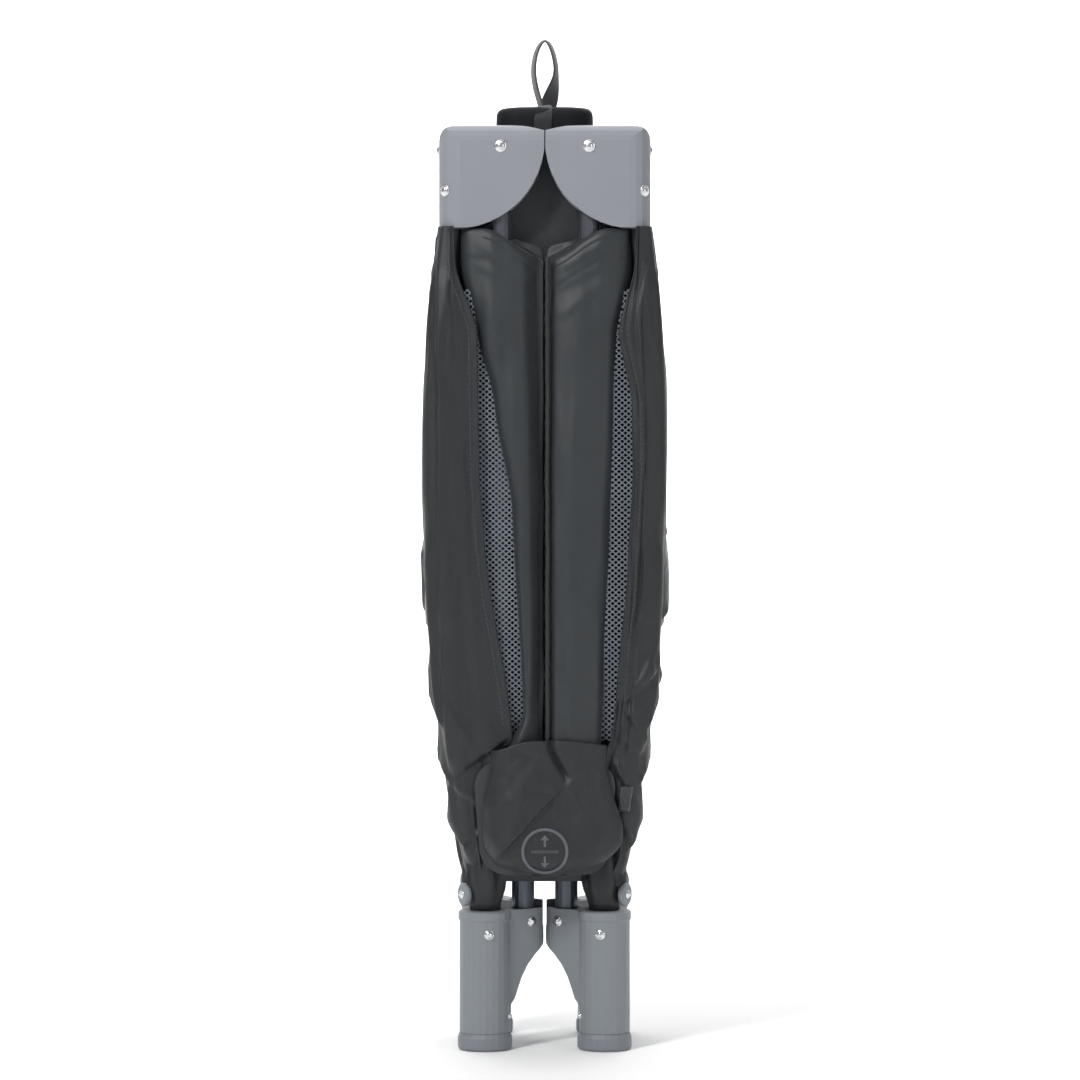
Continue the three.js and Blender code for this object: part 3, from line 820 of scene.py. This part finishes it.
def net_gusset(face, side):
    """Net between the corner band and the rail band of a long side."""
    place, _, name, s = half_rail(face, side)
    slim = (face, side) in SLIM_SIDES
    z0, z1 = (246.0 if slim else 262.0), 640.0
    rows, cols = 84, 14
    verts, uv = [], []
    for i in range(rows + 1):
        z = z0 + (z1 - z0) * i / rows
        a = band_edge_at(z, slim) + 4.0
        b = lerp_table(PAD_EDGE_SLIM if slim else PAD_EDGE_FULL, (z - PAD_LOW) / (PAD_TOP - PAD_LOW)) - 9.0
        for j in range(cols + 1):
            c = j / cols
            u = a + (b - a) * c
            d = min(90.0, bulge(z) - 6.5) - 2.0 * math.sin(math.pi * c) + fuzz(z * 0.02, c * 2.0, side * 3.0)
            verts.append(place(s * u, d, z))
            uv.append((s * (a - (a - b) * c) * MM, z * MM))
    wear(skin(f"net_gusset_{name}", verts, cols + 1, uv), NET, f"half_rail_{name}")


# The latch's cloth cover, from the latch's pin: how far it hangs and rises, and its left and right edge
FLAP_LOW, FLAP_HIGH = -73.0, 39.0
FLAP_LEFT, FLAP_RIGHT = -51.0, 58.0
FLAP_MID = (FLAP_LEFT + FLAP_RIGHT) / 2


def latch_flap(face):
    """Cloth cover over the front and underside of one latch, with the puffed end of the padding folded
    over it on one side."""
    place, half = FACES[face]
    pz = RAIL_PIVOT - half
    seed = 2.3 * list(FACES).index(face)
    rows, cols = 100, 100
    c = np.linspace(-1, 1, cols + 1)[None, :]
    v = np.linspace(0, 1, rows + 1)[:, None]
    h = FLAP_LOW + (FLAP_HIGH - FLAP_LOW) * v
    round_low = np.sqrt(np.maximum(0.0, 1 - np.maximum(0.0, 1 - (h - FLAP_LOW) / 36.0) ** 2.4))
    grow = 7.0 * ramp01(-66, -44, h) * (1 - ramp01(-36, -6, h))
    half_wide = (FLAP_RIGHT - FLAP_LEFT) / 2 * (0.30 + 0.70 * round_low) - 6.5 * ramp01(-20, 20, h)
    u = FLAP_MID + half_wide * c + grow * np.maximum(c, 0)
    zz = h + 0 * c
    zz = zz - 6.0 * ramp01(0.80, 1.0, v) * (1 - np.cos(c * 1.2))
    zz = zz - 5.0 * ramp01(0.85, 1, v) * ramp01(0.3, 1, -c)
    zz = zz - 2.0 * (1 - ramp01(0.0, 0.12, v)) * (1 - c * c)
    edge = np.abs(c) ** 6 * 8.0
    under = (1 - ramp01(0, 16, h - FLAP_LOW)) ** 2 * 12.0
    d = 99.6 - edge - under + 1.8 * (1 - c * c)
    # crease across, the puff above it
    lines = ((-46.0, -67.0, 17.0, 4.0, 6.0, 36), (33.0, -26.0, 21.0, 8.0, 1.6, 14),
             (44.0, -30.0, 36.0, 20.0, 1.2, 10), (10.0, 22.0, -30.0, 34.0, -1.4, 9),
             (-38.0, 6.0, -12.0, 22.0, 1.2, 8), (-40.0, -18.0, -18.0, -6.0, 0.9, 9))
    d = d + folds(u, zz, lines) * (1 - np.abs(c) ** 8)
    # centre crease between the two padded bands, bending aside as it runs down
    bend = 4.5 + 13.5 * (1 - ramp01(4, 36, zz))
    gap = np.abs(u - bend)
    d = d - 6.5 * np.exp(-(gap / 3.4) ** 1.3) * ramp01(2, 16, zz)
    d = d + 0.8 * waves(u * 0.06 + seed, zz * 0.05, seed) + 0.35 * waves(u * 0.2, zz * 0.12, seed + 5)
    d = np.minimum(d, 105.5)
    verts = [place(float(a), float(b), float(pz + e)) for a, b, e in zip(u.ravel(), d.ravel(), zz.ravel())]
    ob = skin(f"latch_flap_{face}", verts, cols + 1)
    solidify(ob, 1.4)
    wear(ob, SATIN_OUTER, f"latch_body_{face}")


def flap_fringe(face):
    """Looped fringe under the latch's cover."""
    place, half = FACES[face]
    hem = RAIL_PIVOT - half + FLAP_LOW
    pts = []
    for i in range(41):
        a = -14.0 + 28.0 * i / 40
        drop = 2.6 if i % 2 else 0.6
        for k in (0.0, 1.0):
            pts.append(place(FLAP_MID + a, 90.4 - 0.6 * k, hem - 0.6 - drop * k))
    fringe = new_object(f"flap_fringe_{face}", pts, grid_faces(41, 2))
    solidify(fringe, 0.8)
    wear(fringe, PIPING, f"latch_body_{face}")


SOCK_LOW, SOCK_HIGH = 117.6, 689.0


def post_sock(corner):
    """Cloth gathered round the post just above the foot, and the close sleeve above it."""
    sx, sy = CORNERS[corner]
    rings = []
    seed = 3.0 * list(CORNERS).index(corner)
    for i in range(101):
        t = i / 100
        z = SOCK_LOW + (SOCK_HIGH - SOCK_LOW) * t

        def radius(a):
            base = 13.0 + 5.0 * smooth(118, 142, z) - 5.2 * smooth(165, 215, z)
            fold = 1.6 * math.sin(7 * a + z * 0.03) + 1.4 * fuzz(a * 1.2, z * 0.03, seed)
            return base + fold * smooth(118, 140, z) * (1 - 0.6 * smooth(200, 260, z))

        rings.append(circle(lambda *at: at, sx * POST[0], sy * POST[1], z, 48, radius))
    ob = loft(f"post_sock_{corner}", rings)
    wear(ob, SATIN_DARK, f"corner_{corner}")
    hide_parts(f"post_sleeve_{corner}")


# The corner beside whose floor tube each face's floor panel is gathered
HELD_BY = {"front": "front_left", "back": "back_left", "left": "front_left", "right": "front_right"}


def unsmooth(w):
    """The t whose smooth step t * t * (3 - 2 * t) is w."""
    lo, hi = 0.0, 1.0
    for _ in range(40):
        mid = (lo + hi) / 2
        if mid * mid * (3 - 2 * mid) < w:
            lo = mid
        else:
            hi = mid
    return (lo + hi) / 2


def accordion(layers, per, wide, last=1.0):
    """Columns of a sheet folded back and forth over +-wide."""
    cols = []
    for i in range(layers * per + 1):
        w = last * i / (layers * per)
        layer = min(layers - 1, i // per)
        q = -wide + 2 * wide * ((i - layer * per) / per)
        cols.append((w, unsmooth(w), -q if layer % 2 else q))
    return cols


# Net window in a wall, in metres: its distance from the posts, its foot and its head
NET_SIDE, NET_FOOT, NET_HEAD = 0.055, 0.225, 0.66
WALL_WIDE, WALL_STEPS = 35.0, 10           # half the folded width, and columns in a layer
BLEND_HEIGHT = 0.4                         # metres; height of the wall's two end points, worked out in wall_sheet and not used further


def wall_sheet(face):
    """Cloth and net wall between two posts, folded in layers between them. One sheet: the window is net and
    its borders are cloth."""
    along = face in LONG_SIDES
    sgn = -1 if face in ("front", "left") else 1
    span = 2 * (HALF_LONG if along else HALF_SHORT)
    d0, d1 = 61.8, (50.0 if along else 42.5)
    z0, z1 = (142.0 if along else 121.0), 757.0
    zs = np.linspace(z0, z1, 48)
    cols = accordion(15 if along else 9, WALL_STEPS, WALL_WIDE)
    # the first and last half layer reach out toward the posts
    for i, (w, t, a) in enumerate(cols):
        from_end = min(i, len(cols) - 1 - i)
        if from_end < WALL_STEPS // 2:
            cols[i] = (w, t, a * (1 + 0.17 * (1 - from_end / (WALL_STEPS / 2))))
    verts, uv = [], []
    for z in zs:
        for w, t, a in cols:
            d = d0 + (d1 - d0) * t
            verts.append((a, sgn * d, z) if along else (sgn * d, a, z))
            uv.append((w * span * MM, z * MM))
    ob = new_object(f"wall_cloth_{face}", verts, grid_faces(len(zs), len(cols)), uv=uv)
    ob.data.materials.append(SATIN)
    ob.data.materials.append(NET)
    for p in ob.data.polygons:
        u = sum(uv[v][0] for v in p.vertices) / len(p.vertices)
        v = sum(uv[v][1] for v in p.vertices) / len(p.vertices)
        net = NET_SIDE < min(u, span * MM - u) and NET_FOOT < v < NET_HEAD
        p.material_index = 1 if net else 0
    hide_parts(f"wall_{face}")
    start, end = (((0, sgn * d * MM) if along else (sgn * d * MM, 0)) + (BLEND_HEIGHT,) for d in (d0, d1))
    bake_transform(ob)
    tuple(start)
    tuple(end)


TIP_REACH = 612.0          # from the hub; the panels' tips are cut off here, clear of the feet


def floor_sheet(face):
    """Triangular floor panel between two floor tubes, gathered beside one of them."""
    along = face in LONG_SIDES
    held = HELD_BY[face]
    sx, sy = CORNERS[held]
    spread = math.atan2(DX, DY) if along else math.atan2(DY, DX)   # half the angle at the hub
    reach = HALF_SHORT if along else HALF_LONG                      # hub to the middle of the side
    normal = Vector((sx * DX, sy * DY, 0))                          # from the hub toward the corner
    across = Vector((-sx * DY, sy * DX, 0)) if along else Vector((sx * DY, -sy * DX, 0))
    centre = Vector((0, sy * TUBE[1], 0)) if along else Vector((sx * 30.0, 0, 0))
    wide, thick = (7.0, 5.4) if along else (12.0, 4.8)
    # side panels stop short of the far tube, along a line beside it
    cols = accordion(34, 4, wide) if along else accordion(14, 4, wide, last=0.94)
    rows = 40
    verts, uv = [], []
    for i in range(rows + 1):
        r = i / rows
        for w, t, q in cols:
            angle = (2 * w - 1) * spread
            length = min(TIP_REACH, reach / math.cos(angle)) - 14.0
            first = 24.0 if along else min(length - 4.0, max(24.0, 36.7 / (1 - w)))
            z = HUB_PIVOT - (first + (length - first) * r)
            at = centre + normal * (thick * (1 - 2 * t)) + across * q
            verts.append((at.x, at.y, z))
            uv.append((math.sin(angle) * length * r * MM, math.cos(angle) * length * r * MM))
    ob = new_object(f"floor_cloth_{face}", verts, grid_faces(rows + 1, len(cols)), uv=uv)
    wear(ob, LINING, None)
    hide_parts(f"floor_sheet_{face}")
    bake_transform(ob)


# ---- small hardware
def rivet(name, place, direction, body, r=5.4):
    """Domed steel rivet of head radius r."""
    profile = [(r, -1.2), (r, 0.35), (r * 0.93, 0.95), (r * 0.80, 1.15), (r * 0.70, 1.25), (r * 0.62, 1.9),
               (r * 0.45, 2.55), (r * 0.22, 2.85), (0.05, 2.9)]
    wear(turned(name, profile, place, direction), STEEL, body)


def bracket_hardware(corner):
    """Rivets on a corner bracket: one at each rail's pin and one on the rounded corner."""
    sx, sy = CORNERS[corner]
    body = f"corner_{corner}"
    rivet(f"rivet_rail_y_{corner}", (sx * PIVOT_IN, sy * BRACKET_FACE, RAIL_PIVOT), (0, sy, 0), body)
    rivet(f"rivet_rail_x_{corner}", (sx * BRACKET_FACE, sy * PIVOT_IN, RAIL_PIVOT), (sx, 0, 0), body)
    k = BRACKET_FACE - 18.0 * (1 - math.sqrt(0.5))     # the corner is rounded by 18 mm
    rivet(f"rivet_corner_{corner}", (sx * (k - 0.2), sy * (k - 0.2), 723.0), (sx, sy, 0), body, 5.0)


def foot_hardware(corner):
    """Rivets on a foot and its arm, and the riveted disc above it."""
    sx, sy = CORNERS[corner]
    body = f"corner_{corner}"
    px, py = sx * POST[0], sy * POST[1]
    inward = Vector((-sx * DX, -sy * DY, 0))
    for sgn in (1, -1):
        n = Vector((inward.y, -inward.x, 0)) * sgn
        hinge = Vector((px, py, FOOT_PIVOT)) + inward * ARM + n * 13.9
        rivet(f"rivet_foot_arm_{corner}_{'a' if sgn > 0 else 'b'}", hinge, n, body, 4.4)
    out = Vector((sx * -0.18, sy * 1.0, 0)).normalized()
    rivet(f"rivet_foot_post_{corner}", Vector((px, py, 98.0)) + out * 21.2, out, body, 4.4)
    side = Vector((-sx * 0.95, sy * 0.30, 0)).normalized()
    rivet(f"rivet_foot_low_{corner}", Vector((px, py, 28.0)) + side * 21.3, side, body, 2.6)
    diag = Vector((sx * 0.9, sy * 0.44, 0)).normalized()
    at = Vector((px, py, 131.0))
    profile = [(9.6, -3.0), (9.8, 0.0), (9.2, 1.2), (8.2, 1.6), (6.4, 1.3), (5.9, 1.35), (0.05, 1.4)]
    wear(turned(f"corner_disc_{corner}", profile, at + diag * 20.0, diag, 36), FOOT_GREY, body)
    rivet(f"rivet_disc_{corner}", at + diag * 21.2, diag, body, 3.6)


def rounded_plan(hx, hy, r):
    """Corner-rounded rectangle as points in order."""
    per = 8
    pts = []
    centres = ((hx - r, hy - r), (r - hx, hy - r), (r - hx, r - hy), (hx - r, r - hy))
    for (cx, cy), a0 in zip(centres, (0, 90, 180, 270)):
        for k in range(per + 1):
            a = math.radians(a0 + 90 * k / per)
            pts.append((cx + r * math.cos(a), cy + r * math.sin(a)))
    return pts


def hub_hardware():
    """Fabric cap drawn over the top of the hub, and the piping round it."""
    hx, hy, corner = 40.45, 48.0, 22.0
    profile = ((1.0, -27.0), (0.8, -26.0), (1.1, -16.0), (1.0, -8.0), (0.9, -4.4), (-0.3, -1.9), (-2.2, -0.1),
               (-5.0, 0.9), (-10.0, 1.5), (-16.0, 1.9), (-21.0, 2.1))
    rings = []
    for grow, rise in profile:
        ring = []
        for x, y in rounded_plan(hx + grow, hy + grow, max(1.0, corner + grow)):
            soft = 0.5 * fuzz(x * 0.09, y * 0.09, rise * 0.05, 1.0, 4.0)
            ring.append((x, y, HUB_TOP + rise + (soft if rise > -5 else 0)))
        rings.append(ring)
    cap = loft("hub_cap", rings)
    subdivide(cap)
    wear(cap, HUB_CLOTH, "floor_hub")
    plan = rounded_plan(hx + 1.5, hy + 1.5, corner)
    verts = []
    for x, y in plan:
        for k in (-0.8, 0.0, 0.8):
            verts.append((x + (0.4 if k == 0 else 0) * (1 if x > 0 else -1), y, HUB_TOP - 20.0 + k))
    piping = new_object("hub_seam", verts, grid_faces(len(plan), 3))
    solidify(piping, 0.8)
    wear(piping, PIPING, "floor_hub")


def pull_strap():
    """Webbing loop: a flat band along a teardrop, a little twisted."""
    outline = ((-1.7, -4.0), (-2.2, 2.0), (-4.2, 9.0), (-7.6, 20.0), (-9.8, 32.0), (-9.4, 43.0), (-7.2, 52.0),
               (-4.2, 58.5), (-1.0, 61.6), (2.0, 61.4), (5.0, 57.5), (7.8, 50.0), (9.8, 40.0), (9.9, 31.0),
               (7.8, 21.0), (4.8, 11.0), (2.6, 4.0), (1.7, -4.0))
    pts = [Vector((x, 0, HUB_TOP + z)) for x, z in outline]
    verts, n_w = [], 9
    total = len(pts)
    for i, p in enumerate(pts):
        t = i / (total - 1)
        way = (pts[min(total - 1, i + 1)] - pts[max(0, i - 1)]).normalized()
        twist = 9 + 34 * smooth(0.76, 0.88, t) * (1 - smooth(0.93, 1.0, t))
        turn = Matrix.Rotation(math.radians(twist), 3, way)
        wide = turn @ Vector((0, 1, 0))
        for j in range(n_w):
            k = j / (n_w - 1) - 0.5
            verts.append(tuple(p + wide * k * 20.0))
    ob = skin("pull_loop", verts, n_w)
    solidify(ob, 2.2)
    subdivide(ob)
    wear(ob, WEB, "floor_hub")
    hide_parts("pull_strap")


def strap_tail():
    """End of the pull loop's webbing, sewn down across the hub's front."""
    pts = [(-4.0, -14.0, HUB_TOP + 3.2), (-3.0, -34.0, HUB_TOP + 2.6), (-1.0, -44.5, HUB_TOP - 0.2),
           (0.0, -48.6, HUB_TOP - 4.0), (1.5, -50.2, HUB_TOP - 11.0), (4.0, -50.6, HUB_TOP - 24.0)]
    verts = []
    for x, y, z in pts:
        for k in range(7):
            c = k / 6 - 0.5
            verts.append((x + 15.0 * c + (z - HUB_TOP) * 0.25, y, z + 2.0 * c))
    ob = skin("strap_tail", verts, 7)
    solidify(ob, 1.2)
    subdivide(ob, 2)
    # the loop's webbing in a darker copy: painted shade on the tail
    wear(ob, WEB_PAINTED_SHADE, "floor_hub")


def centre_piping(face):
    """Corded edge of the padded band at the middle of a long side."""
    place, half, name, _ = half_rail(face, 1)
    z0, z1 = RAIL_PIVOT - half + 26.0, PAD_TOP - NECK_DROP
    rings = []
    for i in range(121):
        z = z0 + (z1 - z0) * i / 120
        r = 1.9 + 0.25 * math.sin(z * 1.3)
        u = 2.2 + 0.7 * fuzz(z * 0.03, 1.0, 2.0)
        d = 93.2 + 1.2 * fuzz(z * 0.02, 4.0, 1.0)
        rings.append(circle(place, u, d, z, 12, lambda a: r))
    wear(loft(f"centre_piping_{face}", rings), PIPING, f"half_rail_{name}")


def neck_hem(face, side):
    """Turned hem, a raised band along the padded band's sloping top."""
    place, _, name, s = half_rail(face, side)
    pad = bpy.data.objects[f"rail_pad_{name}"]
    verts = []
    for i in range(41):
        u = 3.0 + 48.0 * i / 40
        for k in range(6):
            z = neckline(u) - 3.0 - 7.5 * k / 5
            lift = 0.9 if 0 < k < 5 else 0.1
            verts.append(place(s * u, surface_depth(pad, place, s * u, z) + lift, z))
    wear(skin(f"neck_hem_{name}", verts, 6), SATIN, f"half_rail_{name}")


def ribbed_tab(corner):
    """Short ribbed grip tab sewn to the low fold of a band."""
    _, sy = CORNERS[corner]
    cover = bpy.data.objects[f"corner_cover_{corner}"]
    face = "front" if sy < 0 else "back"
    place, _ = FACES[face]
    s = -1 if ENDS[face][0][1] == corner else 1
    verts = []
    for i in range(13):
        for k in range(13):
            u = 67.5 + 9.0 * (k / 12 - 0.5) + (i / 12 - 0.5) * 3.0
            z = 213.0 + 21.0 * (i / 12 - 0.5)
            rib = 0.9 if k % 2 else 0.0
            verts.append(place(s * u, surface_depth(cover, place, s * u, z) + 1.3 + rib, z))
    ob = skin(f"ribbed_tab_{corner}", verts, 13)
    solidify(ob, 1.3)
    wear(ob, WEB, f"corner_{corner}")


def lock_mark(face):
    """Raised print on the flap: a ring and two arrows."""
    place, half = FACES[face]
    flap = bpy.data.objects[f"latch_flap_{face}"]
    cz = RAIL_PIVOT - half - 53.0
    verts, faces = [], []

    def patch(points_in, points_out, closed):
        """Strip between two lines of points, laid on the flap."""
        base = len(verts)
        n = len(points_in)
        for (u0, z0), (u1, z1) in zip(points_in, points_out):
            for u, z in ((u0, z0), (u1, z1)):
                verts.append(place(u, surface_depth(flap, place, u, z) + 0.95, z))
        for i in range(n if closed else n - 1):
            j = (i + 1) % n
            faces.append((base + 2 * i, base + 2 * i + 1, base + 2 * j + 1, base + 2 * j))

    angles = [TAU * i / 64 for i in range(64)]
    ring_in, ring_out = ([(r * math.cos(a), cz + r * math.sin(a)) for a in angles] for r in (17.2, 19.6))
    patch(ring_in, ring_out, True)
    for s in (1, -1):
        # arrow: shaft and head
        patch([(-0.9, cz + s * 4.0), (-0.9, cz + s * 9.5)], [(0.9, cz + s * 4.0), (0.9, cz + s * 9.5)], False)
        patch([(-3.6, cz + s * 9.5), (-1.8, cz + s * 11.7), (0.0, cz + s * 13.9)],
              [(3.6, cz + s * 9.5), (1.8, cz + s * 11.7), (0.01, cz + s * 13.9)], False)
    for s in (1, -1):
        # the two lines of the bar between the arrows
        patch([(-11.5, cz + s * 0.7 - 0.5), (11.5, cz + s * 0.7 - 0.5)],
              [(-11.5, cz + s * 0.7 + 0.1), (11.5, cz + s * 0.7 + 0.1)], False)
    ob = new_object(f"lock_mark_{face}", verts, faces)
    fix_normals(ob)
    wear(ob, PRINT, f"latch_body_{face}")


# ---- assembly
for corner in CORNERS:
    post_sock(corner)
    corner_cover(corner)
for face in FACES:
    for side in (0, 1):
        pad = rail_pad(face, side)
        rail_cover(face, side)
        neck_seam(face, side, pad)
        if face in LONG_SIDES:
            net_gusset(face, side)
    latch_flap(face)
    flap_fringe(face)
    wall_sheet(face)
    floor_sheet(face)
bpy.context.view_layer.update()
for face in LONG_SIDES:
    lock_mark(face)
for face in LONG_SIDES:
    centre_piping(face)
for face in FACES:
    for side in (0, 1):
        neck_hem(face, side)
ribbed_tab("front_right")
ribbed_tab("back_left")
strap_tail()
for corner in CORNERS:
    bracket_hardware(corner)
for corner in CORNERS:
    foot_hardware(corner)
hub_hardware()
pull_strap()


# ---- stage
def stage():
    """Pale floor that curves up into a backdrop."""
    bm = bmesh.new()
    rows = [(-16.0, 0.0), (5.0, 0.0), (6.2, 0.15), (7.2, 0.8), (7.8, 2.0), (7.9, 12.0)]
    for y, z in rows:
        for x in (-16.0, 16.0):
            bm.verts.new((x, y, z - 0.0005))
    bm.verts.ensure_lookup_table()
    for i in range(len(rows) - 1):
        bm.faces.new((bm.verts[2 * i], bm.verts[2 * i + 1], bm.verts[2 * i + 3], bm.verts[2 * i + 2]))
    me = bpy.data.meshes.new("studio_floor")
    bm.to_mesh(me)
    bm.free()
    ob = bpy.data.objects.new("studio_floor", me)
    bpy.context.scene.collection.objects.link(ob)
    m = Nodes("studio_white")
    m.set(Base_Color=(0.93, 0.93, 0.93, 1), Roughness=0.9)
    me.materials.append(m.mat)
    me.polygons.foreach_set("use_smooth", [True] * len(me.polygons))


def area_light(name, place, target, size, power):
    data = bpy.data.lights.new(name, "AREA")
    data.shape = "RECTANGLE"
    data.size, data.size_y = size
    data.energy = power
    ob = bpy.data.objects.new(name, data)
    ob.location = place
    ob.rotation_mode = "QUATERNION"
    ob.rotation_quaternion = (Vector(target) - Vector(place)).to_track_quat("-Z", "Y")
    bpy.context.scene.collection.objects.link(ob)


def lights_and_camera():
    area_light("key", (-1.5, -2.3, 2.6), (0, 0, 0.45), (0.6, 0.8), 72)
    area_light("fill", (2.3, -2.7, 1.2), (0, 0, 0.4), (1.0, 1.8), 16)
    area_light("top", (0, 0.3, 3.2), (0, 0, 0.3), (2.4, 2.4), 34)
    area_light("backdrop", (0, 3.6, 5.4), (0, 7.8, 1.4), (7.0, 2.0), 800)
    world = bpy.data.worlds.new("studio")
    world.use_nodes = True
    sky = world.node_tree.nodes["Background"].inputs
    sky["Color"].default_value = (1, 1, 1, 1)
    sky["Strength"].default_value = 0.31
    bpy.context.scene.world = world
    bpy.context.scene.view_settings.view_transform = "Standard"
    cam = bpy.data.cameras.new("camera")
    cam.sensor_width = 36
    cam.lens = 135.5
    cam.shift_y = -0.066
    ob = bpy.data.objects.new("camera", cam)
    ob.location = (-0.004, -3.489, 0.49)
    ob.rotation_euler = (math.radians(90), 0, 0)
    bpy.context.scene.collection.objects.link(ob)
    bpy.context.scene.camera = ob


stage()
lights_and_camera()
